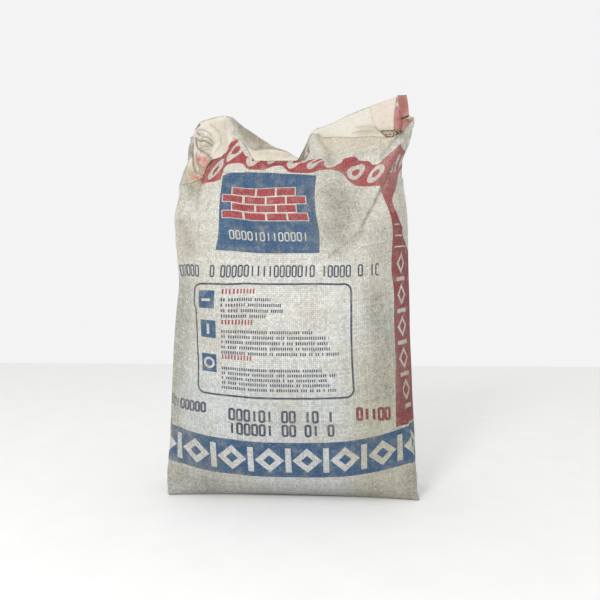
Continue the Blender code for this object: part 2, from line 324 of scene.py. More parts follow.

# %% [markdown]
# ## Folds pressed in
#
# Some folds are the bag's own story: the corner that was pulled up leaves a long
# diagonal valley, and the folded ends leave pleats under the top. They are traced
# as lines in the picture and pressed into the form. A valley or ridge fades away
# from its line, and a pleat steps from one side of its line to the other.

# %% The fold lines: path in the picture, and width and depth in millimetres from start to end
METRES_PER_PIXEL = 0.0016
FOLDS = (
    # the corner's long diagonal, a soft ridge above it, and the hollow beside it
    dict(path=((398, 160), (391, 170), (383, 187), (378.6, 195), (372.9, 206.4), (366, 219), (361, 231)),
         width=(2.2, 2.2), depth=(-5.5, -3.5)),
    dict(path=((366, 220), (359, 232), (350, 240), (341, 247), (328, 257)),
         width=(3, 5), depth=(-1.8, -1.0)),
    dict(path=((367, 229), (357, 239), (346, 248), (336, 256)), width=(2.5, 3), depth=(-1.2, -0.8)),
    dict(path=((401, 176), (393, 192), (382, 214), (371, 236)), width=(9, 12), depth=(4, 2)),
    dict(path=((372, 188), (362, 208), (350, 232)), width=(7, 9), depth=(3.5, 2)),
    dict(path=((342, 188), (340, 212), (330, 240)), width=(24, 24), depth=(-3, -3)),
    # pleats beside and under the left corner
    dict(path=((203, 176), (200.5, 190), (198, 202), (197.5, 216)), width=(3, 5), depth=(-6, -1)),
    dict(path=((208, 178), (206, 192), (205, 208)), width=(5, 8), depth=(3, 1)),
    dict(path=((180, 218), (186, 238), (194, 260)), width=(9, 14), depth=(-4, -1.5)),
    dict(path=((227, 116), (227.5, 139), (227.5, 156), (226, 169), (224, 180), (221, 205)),
         width=(3, 6), depth=(-4, 0), step=True),
    # the fold beside the saddle
    dict(path=((316, 132), (320, 138), (326, 146), (330, 154), (329, 160), (336, 166)),
         width=(4, 6), depth=(-5.5, -3)),
    dict(path=((311, 132), (317, 144), (322, 156), (326, 166)), width=(6, 8), depth=(3, 2)),
    # the folded edge that runs down from the right corner
    dict(path=((400, 136), (391, 145), (385, 153), (380, 162)), width=(3, 4), depth=(-5, -3)),
    dict(path=((404, 139), (395, 149), (388, 158), (384, 166)), width=(4, 5), depth=(4, 2)),
    # the lip under the front crease of the right corner
    dict(path=((341, 162), (352, 154), (376, 147), (390, 139)), width=(4, 4), depth=(3, 3)),
    # the crumpled left corner, whose creases hold dirt
    dict(path=((195.3, 138), (200.3, 141), (205.3, 140.8), (209, 143), (212, 145.5)),
         width=(2, 2), depth=(-2.5, -1.5), dirty=1.0),
    dict(path=((196.5, 131), (199.5, 135), (202.8, 136.8), (206, 136.5), (209, 138), (212, 141), (214, 144)),
         width=(2, 2), depth=(-1.5, -1.5), dirty=0.6),
    dict(path=((197.8, 129.3), (203, 129.8), (207.8, 131.8), (212, 136)),
         width=(2, 2), depth=(-1.2, -1), dirty=0.5),
    dict(path=((195.9, 138), (196.5, 143), (197.8, 148), (202.5, 151.5), (207.8, 154.5), (210.3, 158)),
         width=(2, 2.5), depth=(-2.5, -2.5), dirty=0.8),
    dict(path=((193.2, 144), (192.6, 149), (193, 155.5), (193.8, 166), (196.5, 174)),
         width=(2, 2.5), depth=(-2.5, -2), dirty=0.9),
    dict(path=((211, 157.5), (209.8, 163), (206.5, 168), (205.5, 174)),
         width=(2.5, 3), depth=(-4, -3), dirty=1.0),
    dict(path=((196.5, 152), (197, 158), (198, 163), (202, 167), (206, 168)),
         width=(2, 2.5), depth=(-2, -2), dirty=0.7),
    dict(path=((209.6, 124), (216, 128), (220, 133), (221.5, 144), (215, 152)),
         width=(3, 3), depth=(-0.8, -0.8), dirty=0.25),
    dict(path=((199, 170), (203, 176), (202, 182)), width=(2, 2.5), depth=(-2.5, -2), dirty=0.7),
    dict(path=((196.5, 133), (201, 133.5), (205, 135)),
         width=(1.5, 1.5), depth=(-1.0, -1.0), dirty=0.35),
    dict(path=((197, 140), (200, 144.5), (202, 150)), width=(1.5, 1.5), depth=(-1.2, -1.0), dirty=0.30),
    dict(path=((204, 143.5), (208, 147), (211, 150)), width=(1.5, 1.5), depth=(-1.0, -1.0), dirty=0.25),
    dict(path=((198, 164), (201, 170), (205, 171)), width=(1.5, 1.5), depth=(-1.5, -1.2), dirty=0.6),
    dict(path=((192, 172), (196, 171), (200, 174), (204, 178)),
         width=(1.5, 2), depth=(-1.5, -1.5), dirty=0.6),
    # the roll's own soft creases
    dict(path=((258, 148), (268, 147.5), (280, 149.5), (290, 152), (297, 157)),
         width=(2, 2), depth=(-1.5, -1.5), dirty=0.5),
    dict(path=((256, 153), (268, 152), (280, 155), (290, 156)), width=(3, 3), depth=(-1.5, -1)),
    dict(path=((262, 157), (272, 158), (284, 158)), width=(3, 3), depth=(1.5, 1)),
    # wrinkles in the slack woven cloth between the corner and the saddle
    dict(path=((229, 117), (237, 130), (243, 141), (247, 148)), width=(4, 4), depth=(4, 2)),
    dict(path=((240, 126), (245, 136), (248, 144)), width=(3, 3), depth=(-3, -2)),
    dict(path=((346, 158), (372, 151), (388, 146)), width=(3, 4), depth=(-2.5, -1.5)),
    # the base fold's edge showing through low on the left
    dict(path=((198, 489), (206, 484), (218, 482), (236, 482.5)), width=(1.5, 1.5), depth=(0.9, 0.6)),
    # fine wrinkles along the lower edge of the patch, by the valve
    dict(path=((352, 133), (362, 131), (374, 131.5)), width=(1.5, 1.5), depth=(-0.8, -0.8), dirty=0.30),
    dict(path=((347, 141.5), (360, 140), (376, 142)), width=(1.5, 1.5), depth=(-1.0, -1.0), dirty=0.30),
    dict(path=((356, 127.5), (368, 126), (377, 127.5)),
         width=(1.5, 1.5), depth=(-0.8, -0.8), dirty=0.22),
    dict(path=((352, 145), (366, 144), (382, 145.5)), width=(1.5, 1.5), depth=(-1.0, -1.0), dirty=0.22),
)


# %% Press the folds into the form
FACING_GAIN = 3


def along_line(across, down, path):
    """Distance in pixels from a line, the share of its length, and the side."""
    path = np.array(path, float)
    lengths = np.hypot(*np.diff(path, axis=0).T)
    walked = np.concatenate(([0], np.cumsum(lengths)))
    best = np.full(across.shape, 1e9)
    share, side = np.zeros((2, *across.shape))
    for start, step, length, before in zip(path[:-1], np.diff(path, axis=0), lengths, walked):
        off_x, off_y = across - start[0], down - start[1]
        t = np.clip((off_x * step[0] + off_y * step[1]) / length**2, 0, 1)
        distance = np.hypot(off_x - t * step[0], off_y - t * step[1])
        near = distance < best
        best = np.where(near, distance, best)
        share = np.where(near, (before + t * length) / walked[-1], share)
        side = np.where(near, np.sign(step[0] * off_y - step[1] * off_x), side)
    return best, share, side


def fold_height(across, down, fold):
    """How far one fold moves each point outwards, in metres."""
    distance, share, side = along_line(across, down, fold["path"])
    distance = distance * METRES_PER_PIXEL
    width = np.interp(share, (0, 1), fold["width"]) / 1000
    height = np.interp(share, (0, 1), fold["depth"]) / 1000 * ease(share / 0.08) * ease((1 - share) / 0.15)
    if fold.get("step"):
        stepped = 0.5 + 0.5 * np.tanh(side * distance / (0.4 * width))
        return height * stepped * np.exp(-distance / (4 * width))
    rounded = np.sqrt(distance**2 + (0.25 * width) ** 2) - 0.25 * width
    return height * np.exp(-rounded / width)


normals = corner_normals(smooth_form, quads)
facing = np.clip(normals @ to_camera * FACING_GAIN, 0, 1)
picture_x, picture_y = pixels_of(smooth_form)
heights = sum(fold_height(picture_x, picture_y, fold) for fold in FOLDS) * facing
folded_form = smooth_form + normals * heights[:, None]
print("folds reach", round(heights.min() * 1000, 1), "to", round(heights.max() * 1000, 1), "mm")

# %% [markdown]
# ## Crumpled cloth
#
# The left corner was crushed in handling, and cloth that has been crushed keeps
# sharp ridges between flat little faces. Folding a noise at its zero line gives
# ridges like that. The same noise, larger and fainter, stops the big faces of
# the bag from looking machined.

# %% Add the crumples
CRUSHED_CORNER = np.array((-0.162, -0.012, 0.580))
CRUSHED_RADIUS = 0.052
CRUSHED_RELIEF = 0.0026
CRUSHED_SIZE = 0.030
CALM_RELIEF = 0.0016
CALM_PER_METRE = 9.0
CALM_FROM = 0.06


def ridges(place, size):
    """A noise with sharp ridges and flat faces, between about -1 and 0.4."""
    spot = Vector(place) / size
    value = 0.0
    for strength in (1.0, 0.5, 0.25):
        value += strength * (0.35 - 1.6 * abs(noise.noise(spot)))
        spot = spot * 2.03 + Vector((3.1, 1.7, 0.4))
    return value


distance = np.linalg.norm(smooth_form - CRUSHED_CORNER, axis=1) / CRUSHED_RADIUS
crushed = np.zeros(len(smooth_form))
for i in np.nonzero(distance < 1)[0]:
    fading = min(1.0, 2.5 * (1 - distance[i]))
    crushed[i] = CRUSHED_RELIEF * ridges(smooth_form[i], CRUSHED_SIZE) * fading
calm = np.array([noise.noise(Vector(p) * CALM_PER_METRE) for p in smooth_form])
high = ease(smooth_form[:, 2] / CALM_FROM)
folded_form = folded_form + normals * (crushed + CALM_RELIEF * calm * high)[:, None]
print("crumples reach", round(crushed.min() * 1000, 1), "mm on", int((distance < 1).sum()), "points")

# %% [markdown]
# ## Let the cloth settle
#
# Cloth that is folded round a hard filling has a little too much length in some
# places, and it buckles there into fine wrinkles that nobody would place by hand.
# Blender's Cloth makes them: every second point of the lattice becomes a cloth
# that grows slightly towards the top, pressed onto a solid copy of the filling.
# Only the fine part of its moves is kept, so the measured outline stays.

# %% Simulate on the coarse lattice
CLOTH_GROWTH = 0.035
CLOTH_FRAMES = 20
CLOTH_CAP = 0.006
CLOTH_BASE_GRIP = 0.005
FILLING_GAP = 0.005
GROWTH_LOW = 0.12
GROWTH_FROM = 0.62
BROAD_ROUNDS = 60
CREASE_CALM = 0.35
CALM_ROWS = 6


def new_piece(name, points, faces):
    """A mesh object with smooth faces."""
    mesh = bpy.data.meshes.new(name)
    mesh.from_pydata([tuple(p) for p in points], [], [tuple(f) for f in faces])
    mesh.shade_smooth()
    piece = bpy.data.objects.new(name, mesh)
    bpy.context.scene.collection.objects.link(piece)
    return piece


def settle(points, faces, up):
    """Simulate the cloth over the filling, and return its moves."""
    outward = corner_normals(points, faces)
    cloth = new_piece("cloth", points, faces)
    filling = new_piece("filling", points - outward * FILLING_GAP, faces)
    filling.modifiers.new("collision", "COLLISION")
    filling.collision.thickness_outer = 0.001
    filling.collision.cloth_friction = 5
    pin = cloth.vertex_groups.new(name="pin")
    pin.add([int(i) for i in np.nonzero(up < CLOTH_BASE_GRIP)[0]], 1.0, "REPLACE")
    grow = cloth.vertex_groups.new(name="grow")
    growth = ease((up - GROWTH_FROM) / (1 - GROWTH_FROM))
    for i, weight in enumerate(GROWTH_LOW + (1 - GROWTH_LOW) * growth):
        grow.add([i], float(weight), "REPLACE")
    modifier = cloth.modifiers.new("cloth", "CLOTH")
    settings = modifier.settings
    settings.quality = 6
    settings.mass = 0.08
    settings.tension_stiffness = settings.compression_stiffness = 40
    settings.shear_stiffness = 20
    settings.bending_stiffness = 3
    settings.tension_damping = settings.compression_damping = settings.shear_damping = 10
    settings.bending_damping = 2
    settings.air_damping = 2
    settings.vertex_group_mass = "pin"
    settings.vertex_group_shrink = "grow"
    settings.shrink_min = 0.0
    settings.shrink_max = -CLOTH_GROWTH
    settings.use_pressure = True
    settings.uniform_pressure_force = -0.8
    settings.effector_weights.gravity = 0
    modifier.collision_settings.distance_min = 0.001
    modifier.collision_settings.collision_quality = 3
    scene = bpy.context.scene
    scene.frame_start, scene.frame_end = 1, CLOTH_FRAMES
    modifier.point_cache.frame_start, modifier.point_cache.frame_end = 1, CLOTH_FRAMES
    for frame_number in range(1, CLOTH_FRAMES + 1):
        scene.frame_set(frame_number)
    evaluated = cloth.evaluated_get(bpy.context.evaluated_depsgraph_get())
    settled = np.empty(len(points) * 3)
    evaluated.data.vertices.foreach_get("co", settled)
    scene.frame_set(1)
    for helper in (cloth, filling):
        bpy.data.objects.remove(helper)
    return settled.reshape(-1, 3) - points


coarse_number, coarse_quads, coarse_index = box_lattice(CELLS // 2)
on_fine = number[tuple((2 * coarse_index).T)]
moves = np.zeros((len(coarse_index), 3))
moves = settle(folded_form[on_fine], coarse_quads, share[on_fine, 2])
print("cloth moved", round(np.linalg.norm(moves, axis=1).mean() * 1000, 1), "mm on average")

# %% Keep the fine wrinkles and spread them to the fine lattice
moves = moves - soften(moves, coarse_quads, BROAD_ROUNDS)
size = np.linalg.norm(moves, axis=1, keepdims=True)
moves = moves * CLOTH_CAP * np.tanh(size / CLOTH_CAP) / np.maximum(size, 1e-9)
below_crease = (CELLS[2] // 2 - coarse_index[:, 2]) / CALM_ROWS
moves = moves * (CREASE_CALM + (1 - CREASE_CALM) * ease(below_crease))[:, None]
low, high_end = index // 2, (index + 1) // 2
spread = np.zeros((len(index), 3))
for i in (low, high_end):
    for j in (low, high_end):
        for k in (low, high_end):
            spread += moves[coarse_number[i[:, 0], j[:, 1], k[:, 2]]] / 8
spread = soften(spread, quads, 2)
sack_form = folded_form + spread
sack_normals = corner_normals(sack_form, quads)
print("kept wrinkles of up to", round(np.linalg.norm(spread, axis=1).max() * 1000, 1), "mm")

# %% [markdown]
# ## The sack
#
# The woven sack and its filling are one padded piece. Its UV map is the tube laid
# flat again, in metres: across is the way round from the middle of the front, and
# up is the way along the tube. The weave follows that map, and so does the print,
# because both were on the cloth before it was folded and filled.

# %% Flat places of the points
def flat_places():
    """Each lattice point's place on the flat tube: round it, and up it."""
    across, through = 2 * share[:, 0] - 1, 2 * share[:, 1] - 1
    round_by = girth_share(across, through) * GIRTH
    column = np.zeros(tuple(CELLS + 1))
    at = np.full((*(CELLS + 1), 3), np.nan)
    at[tuple(index.T)] = smooth_form
    step = np.linalg.norm(np.diff(at, axis=2), axis=3)
    column[:, :, 1:] = np.cumsum(np.nan_to_num(step), axis=2)
    up = column[tuple(index.T)]
    return round_by, up, column, at


round_by, up_by, column_length, form_grid = flat_places()
depth_step = np.linalg.norm(np.diff(form_grid[:, :, -1], axis=1), axis=2)
top_depth = np.concatenate((np.zeros((CELLS[0] + 1, 1)), np.cumsum(depth_step, axis=1)), axis=1)
top_up = column_length[:, 0, -1][:, None] + top_depth
front_rows = column_length[:, 0, -1] * 1000
print("front, from base to crease:", round(front_rows.min()), "to", round(front_rows.max()), "mm")


# %% Write the flat places as a UV map
def flat_uv():
    """Each face corner's place on the flat tube, cut down the middle of the back."""
    corners = quads
    u = round_by[corners].copy()
    v = up_by[corners].copy()
    column_at, row_at, level_at = np.moveaxis(index[corners], 2, 0)
    middle = u.mean(axis=1, keepdims=True)
    spans = (u.max(axis=1) - u.min(axis=1) > 0.5)[:, None]
    u = np.where(spans & (u < 0.5), u + GIRTH, u)
    u = np.where(u.mean(axis=1, keepdims=True) > GIRTH / 2 + 1e-6, u - GIRTH, u)
    on_top = (level_at == CELLS[2]).all(axis=1)[:, None]
    on_base = (level_at == 0).all(axis=1)[:, None]
    flat_across = (2 * column_at / CELLS[0] - 1) * FACE_WIDTH / 2
    u = np.where(on_top | on_base, flat_across, u)
    v = np.where(on_top, top_up[column_at, row_at], v)
    v = np.where(on_base, -row_at / CELLS[1] * FOLD_DEPTH, v)
    return np.stack((u, v), axis=2)


uv = flat_uv()
print("UV map, in metres, from", uv.min(axis=(0, 1)).round(3), "to", uv.max(axis=(0, 1)).round(3))

# %% Make the sack
VALLEY_DARK_PER_METRE = 250

sack = new_piece("woven_sack", sack_form, quads)
layer = sack.data.uv_layers.new(name="flat_tube")
layer.data.foreach_set("uv", uv.reshape(-1))
# painted shade and dust: each valley is darkened by its depth, and the finishes read this as the crease value
valley_shade_and_dust = np.clip(-(heights + crushed) * VALLEY_DARK_PER_METRE, 0, 1)
sack.data.attributes.new("crease", "FLOAT", "POINT").data.foreach_set("value", valley_shade_and_dust)
bag_surface = BVHTree.FromPolygons([tuple(p) for p in sack_form], [tuple(q) for q in quads])
print("sack", len(sack.data.vertices), "points, box", np.round(np.ptp(sack_form, axis=0), 4))

# %% [markdown]
# ## The cover patches
#
# A cover patch is a strip of coated weave, stiffer and smoother than the sack,
# welded over a folded end. On the slumped top it has buckled with the cloth under
# it. A patch is made as a thin closed shell on the sack's own top points, so it
# follows every fold, and its edges are placed where the picture shows them.

# %% Read any place of the folded top
top_points = sack_form[number[:, :, -1]]
top_normals = sack_normals[number[:, :, -1]]
top_shade_and_dust = valley_shade_and_dust[number[:, :, -1]][..., None]


def between(grid, across, back):
    """Read a grid of rows between its points. Both shares run 0 to 1."""
    i = np.clip(across, 0, 1) * (grid.shape[0] - 1)
    j = np.clip(back, 0, 1) * (grid.shape[1] - 1)
    i0 = np.minimum(i.astype(int), grid.shape[0] - 2)
    j0 = np.minimum(j.astype(int), grid.shape[1] - 2)
    s, t = (i - i0)[..., None], (j - j0)[..., None]
    return ((grid[i0, j0] * (1 - s) + grid[i0 + 1, j0] * s) * (1 - t)
            + (grid[i0, j0 + 1] * (1 - s) + grid[i0 + 1, j0 + 1] * s) * t)


def shell(name, inner, outer, flat, dirt=None):
    """Close two grids of points, one over the other, into a thin solid."""
    rows, columns = inner.shape[:2]
    at = np.arange(rows * columns).reshape(rows, columns)
    ring = [corner.ravel() for corner in (at[:-1, :-1], at[1:, :-1], at[1:, 1:], at[:-1, 1:])]
    faces = [np.stack(ring[::-1], 1), np.stack(ring, 1) + rows * columns]
    rim = np.concatenate((at[:-1, 0], at[-1, :-1], at[:0:-1, -1], at[0, :0:-1]))
    rim_above = rim + rows * columns
    faces.append(np.stack((rim, np.roll(rim, -1), np.roll(rim_above, -1), rim_above), 1))
    faces = np.concatenate(faces)
    piece = new_piece(name, np.concatenate((inner.reshape(-1, 3), outer.reshape(-1, 3))), faces)
    flat = np.concatenate((flat.reshape(-1, 2), flat.reshape(-1, 2)))
    piece.data.uv_layers.new(name="flat_tube").data.foreach_set("uv", flat[faces].reshape(-1))
    # dirt, when given, is the valleys' painted shade and dust
    valley = np.zeros(2 * rows * columns) if dirt is None else np.tile(dirt.ravel(), 2)
    piece.data.attributes.new("crease", "FLOAT", "POINT").data.foreach_set("value", valley)
    return piece


# %% The edges of the top patch, in the picture and as (x, share of the way back)
PATCH_FRONT_EDGE = ((183, 186), (190, 184), (198, 181), (203, 178), (205, 173), (206.5, 168),
                    (209.6, 163), (213, 160), (226, 156), (227.2, 142), (234, 138), (240, 141),
                    (246, 149), (254, 161), (297, 161), (301, 156), (307, 143), (312, 134),
                    (318, 134.5), (323, 138), (336, 137), (352, 138), (372, 136.5), (385, 137.5),
                    (400, 133), (410, 130))
PATCH_BACK_EDGE = ((-0.200, 0.97), (-0.114, 0.97), (-0.108, 0.80), (-0.102, 0.52), (-0.096, 0.30),
                   (-0.088, 0.11), (-0.072, 0.06), (-0.064, 0.22), (-0.050, 0.34), (-0.010, 0.36),
                   (0.006, 0.28), (0.014, 0.30), (0.020, 0.60), (0.026, 0.97), (0.200, 0.97))
PATCH_ENDS = (0.015, 0.985)
PATCH_CELLS = (300, 80)
PATCH_ROWS_READ = 241
PATCH_LIFT = 0.0003
PATCH_THICKNESS = 0.0004
EDGE_LIFT = 0.0003
EDGE_REACH = 0.03
LIFTS_PER_METRE = 55
TIGHT_FROM_PIXEL = 325
TIGHT_FADE_PIXELS = 15
TIGHT_SHARE = 0.75
CREASE_RIDGE = 0.0009
RIDGE_PIXELS_AWAY = 1.5
RIDGE_PIXELS_WIDE = 0.8


def straight(stops, place):
    """Read a line of straight stretches."""
    return np.interp(place, *np.array(stops, float).T)


across = np.linspace(*PATCH_ENDS, PATCH_CELLS[0] + 1)
back = np.linspace(0, 1, PATCH_ROWS_READ)
columns = between(top_points, *np.meshgrid(across, back, indexing="ij"))
picture_x, picture_y = pixels_of(columns)
above_edge = picture_y < straight(PATCH_FRONT_EDGE, picture_x)
front_edge = back[np.argmax(above_edge, axis=1)]
front_edge = np.where(above_edge.any(axis=1), np.clip(front_edge, 0.02, 0.9), 0.02)
back_edge = straight(PATCH_BACK_EDGE, columns[:, PATCH_ROWS_READ // 2, 0])
back_edge = np.maximum(back_edge, front_edge + 0.04)
step = np.linspace(0, 1, PATCH_CELLS[1] + 1)
patch_back = front_edge[:, None] + (back_edge - front_edge)[:, None] * step
patch_across = np.repeat(across[:, None], PATCH_CELLS[1] + 1, axis=1)
patch_place = between(top_points, patch_across, patch_back)
patch_out = between(top_normals, patch_across, patch_back)
lifted = np.array([[noise.noise(Vector(p) * LIFTS_PER_METRE) for p in row] for row in patch_place])
near_edge = np.exp(-np.minimum(step, 1 - step) * (back_edge - front_edge)[:, None] / EDGE_REACH)
patch_x, patch_y = pixels_of(patch_place)
loose = 1 - TIGHT_SHARE * ease((patch_x - TIGHT_FROM_PIXEL) / TIGHT_FADE_PIXELS)
lift = PATCH_LIFT + EDGE_LIFT * near_edge * loose * (1 + lifted)
for fold in FOLDS:
    if "dirty" in fold:
        away = along_line(patch_x, patch_y, fold["path"])[0]
        beside = (away - RIDGE_PIXELS_AWAY) / RIDGE_PIXELS_WIDE
        lift += fold["dirty"] * CREASE_RIDGE * np.exp(-(beside**2))
inner = patch_place + patch_out * lift[..., None]
outer = patch_place + patch_out * (lift + PATCH_THICKNESS)[..., None]
patch_flat = np.stack((patch_across * FACE_WIDTH, patch_back * FOLD_DEPTH), axis=2)
top_patch = shell("coated_top_patch", inner, outer, patch_flat, between(top_shade_and_dust, patch_across, patch_back))
print("top patch", len(top_patch.data.polygons), "faces")

# %% [markdown]
# ## The valve patch
#
# The valve is a short sleeve in the right corner. A second, squarer patch covers
# it, lying on the end of the cover patch, with one edge cut in a shallow curve.
# It could be cut from the top patch's grid, but it bridges the folds under it
# instead of following them. So it is laid as a stiff flap: two edges are drawn in
# the picture, and a plane through what lies behind them gives its depth.

# %% Lay stiff cloth between two lines in the picture
def laid_cloth(name, left, right, lift, bow, size, cells=(14, 24)):
    """A flap between two lines in the picture, each from its top down, lying on the bag."""
    across = np.linspace(0, 1, cells[0] + 1)[:, None]
    along = np.linspace(0, 1, cells[1] + 1)
    sides = []
    for line in (left, right):
        line = np.array(line, float)
        sides.append([np.interp(along, np.linspace(0, 1, len(line)), part) for part in line.T])
    at_x = sides[0][0] * (1 - across) + sides[1][0] * across
    at_y = sides[0][1] * (1 - across) + sides[1][1] * across
    depth = np.full(at_x.shape, np.nan)
    for spot in np.ndindex(at_x.shape):
        place = bag_surface.ray_cast(Vector(camera_place), ray_through(at_x[spot], at_y[spot]))[0]
        if place is not None:
            depth[spot] = (np.array(place) - camera_place) @ -to_camera
    known = np.isfinite(depth)
    terms = np.stack((np.ones_like(at_x), at_x, at_y), axis=2)
    plane = terms @ np.linalg.lstsq(terms[known], depth[known], rcond=None)[0]
    bulge = np.sin(np.pi * across) * (0.35 + 0.65 * np.sin(np.pi * along))
    depth = np.fmin(plane, depth) - lift - bow * bulge
    points = np.empty((*at_x.shape, 3))
    for spot in np.ndindex(at_x.shape):
        ray = np.array(ray_through(at_x[spot], at_y[spot]))
        points[spot] = camera_place + ray * (depth[spot] / (ray @ -to_camera))
    flat = np.stack(np.broadcast_arrays(across * size[0], along * size[1]), axis=2)
    return shell(name, points[:, ::-1], points[:, ::-1] + to_camera * PATCH_THICKNESS, flat[:, ::-1])


# %% Lay the valve patch
VALVE_LEFT = ((370.5, 105.8), (370.6, 111), (371.6, 116), (374.0, 122.5), (376.3, 128), (379.5, 130.6))
VALVE_RIGHT = ((396.9, 96.6), (395.8, 103), (394.8, 110), (394.2, 117), (394.0, 124), (393.8, 130.0))
VALVE_SIZE = (0.042, 0.077)
VALVE_LIFT = 0.0030
VALVE_BOW = 0.0008
VALVE_CELLS = (28, 30)
valve_patch = laid_cloth("coated_valve_patch", VALVE_LEFT, VALVE_RIGHT, VALVE_LIFT, VALVE_BOW,
                         VALVE_SIZE, VALVE_CELLS)
print("valve patch", len(valve_patch.data.polygons), "faces")

# %% [markdown]
# ## The folded right corner
#
# The printed side of the tube is tucked round the end of the patches in a few
# small tongues. Each is laid from its corners in the picture onto the bag, then
# bowed outwards a little, as stiff cloth is where it is folded over.

# %% Lay the corner's tongues
TUCKED_END = (((397.3, 95.4), (398.8, 105.8), (400.6, 118.2)),
              ((406.6, 95.0), (408.2, 105.0), (409.0, 115.4)))
TUCKED_PETAL = (((396.4, 106.0), (394.0, 114.5), (393.8, 124.5), (395.6, 131.5)),
                ((397.2, 106.0), (400.8, 114.5), (402.0, 124.5), (399.4, 134.0)))
TUCKED_TAB = (((401.2, 119.6), (401.8, 123.0), (400.4, 131.5)),
              ((413.6, 117.4), (409.0, 122.6), (401.4, 133.0)))
# Each tongue: its name, its two edges, its lift and bow off the bag, and its flat size
TONGUES = (
    ("tucked_end", TUCKED_END, 0.0030, 0.0025, (0.015, 0.052)),
    ("tucked_petal", TUCKED_PETAL, 0.0050, 0.0035, (0.012, 0.060)),
    ("tucked_tab", TUCKED_TAB, 0.0040, 0.0030, (0.016, 0.030)),
)
tongues = [laid_cloth(name, *edges, *how) for name, edges, *how in TONGUES]
with bpy.context.temp_override(active_object=tongues[0], selected_editable_objects=tongues):
    bpy.ops.object.join()
tucked_corner = tongues[0]
tucked_corner.name = "tucked_corner"
print("tucked corner", len(tucked_corner.data.polygons), "faces")

# %% [markdown]
# ## Where the dirt and the painted shade are
#
# Cement has leaked from the valve and dried round its mouth, and dust lies on the cloth under the patch. Some
# marks are painted shade: on the sunken plane behind the roll and on the slack facets beside the left corner,
# which face away from the lamp; at the shaded edge of that corner and under it; along the long diagonal fold;
# in the slit under the tucked end; and inside the valve's mouth. The crushed corner has rubbed red ink onto
# itself. Each stain is a few fading lines in the picture, kept as a value on the points that the material
# reads.

# %% Mark the stains and the painted shade on the points: each has lines in the picture, as wide as so many pixels
PINCH_WIDTH = 0.8
STAINS_AND_SHADE = {
    # the mouth's dark lines are spilt cement, with painted shadow inside the mouth
    "spill": (dict(path=((381.3, 132.2), (386.4, 136.8), (392, 136.6), (397, 134.4)), width=0.7),
              dict(path=((382, 131), (388, 132.2), (394, 131.8)), width=0.9, strength=0.6),
              dict(path=((386, 134.2), (395, 134)), width=1.9, strength=0.9),
              dict(path=((395, 132), (401.5, 131.8)), width=1.8),
              # painted shadow in the slit between the tucked end and the tab below it
              dict(path=((400.6, 118.9), (404.5, 118.0), (409.2, 115.2)), width=0.9),
              dict(path=((406.6, 119.6), (408.6, 121.4)), width=1.0, strength=0.8),
              dict(path=((397.5, 95.2), (402, 94.8), (406, 95)), width=0.9),
              dict(path=((195.5, 128), (199, 125)), width=1.2)),
    "tucked": (dict(path=((402, 99), (403, 108), (401, 116)), width=4.0),
               dict(path=((399, 119), (403, 121), (399, 129)), width=4.0)),
    "dust": (dict(path=((362, 133.5), (374, 131), (392, 132)), width=5.0, strength=0.75),
             dict(path=((364, 140), (374, 138), (386, 141)), width=5.0, strength=0.45),
             # painted shade on the sunken plane behind the roll, which faces away from the lamp
             dict(path=((243, 131), (252, 137), (262, 143)), width=6.0),
             dict(path=((254, 151), (272, 155), (292, 154)), width=5.0, strength=0.6),
             # painted shade under the left corner
             dict(path=((188, 172), (195, 186)), width=8.0)),
    "pale_dust": (dict(path=((322, 141), (345, 142), (368, 143), (384, 143)), width=6.5),
                  dict(path=((330, 150), (350, 149)), width=6.0, strength=0.4)),
    "rubbed_red": (dict(path=((200, 160), (205, 160.5), (205, 164)), width=4.4, strength=1.25),
                   dict(path=((203, 167), (205, 174)), width=2.4, strength=0.9),
                   dict(path=((193, 176.5), (200, 178.5), (204, 181)), width=3.0, strength=1.15)),
    "grime": (dict(path=((335, 188), (346, 212), (336, 238)), width=20.0, strength=0.82),
              dict(path=((172, 385), (185, 400)), width=10.0, strength=0.6),
              # painted shade along the long diagonal fold and the fan of folds below it
              dict(path=((380, 190), (373, 205), (364, 221), (359, 232)), width=1.2),
              dict(path=((362, 229), (351, 239), (341, 247), (329, 257)), width=2.6),
              dict(path=((366, 230), (356, 240), (346, 248)), width=1.6, strength=0.6),
              dict(path=((303, 147), (306, 153), (307, 160)), width=2.0, strength=0.35),
              # painted shade on the shaded left edge of the crushed corner, and under that corner
              dict(path=((190.3, 138), (189.3, 155)), width=2.4, strength=1.4),
              dict(path=((186, 180), (192, 192)), width=8.0, strength=0.8),
              dict(path=((380, 228), (380, 255)), width=10.0, strength=0.5),
              dict(path=((376, 298), (384, 345), (386, 395)), width=12.0),
              dict(path=((378, 365), (374, 400), (366, 432)), width=24.0, strength=0.20),
              dict(path=((186, 388), (190, 430)), width=24.0, strength=0.30),
              dict(path=((256, 416), (330, 424)), width=16.0, strength=0.22),
              # darker down the left side and at the bottom corners
              dict(path=((179, 290), (177, 350), (172, 395), (170, 425)), width=15.0),
              dict(path=((168, 472), (210, 482)), width=14.0),
              dict(path=((413, 472), (413, 490)), width=8.0),
              # painted shade on the slack facets right of the left corner, which face away from the lamp
              dict(path=((232, 121), (246, 130), (262, 140)), width=5.0),
              dict(path=((229, 124), (233, 133)), width=3.5, strength=0.6)),
    "crushed": (dict(path=((199, 130), (204, 142), (202, 160), (204, 178)), width=8.0),),
    "pinched": tuple(dict(path=fold["path"], width=PINCH_WIDTH, strength=fold["dirty"])
                     for fold in FOLDS if "dirty" in fold),
}


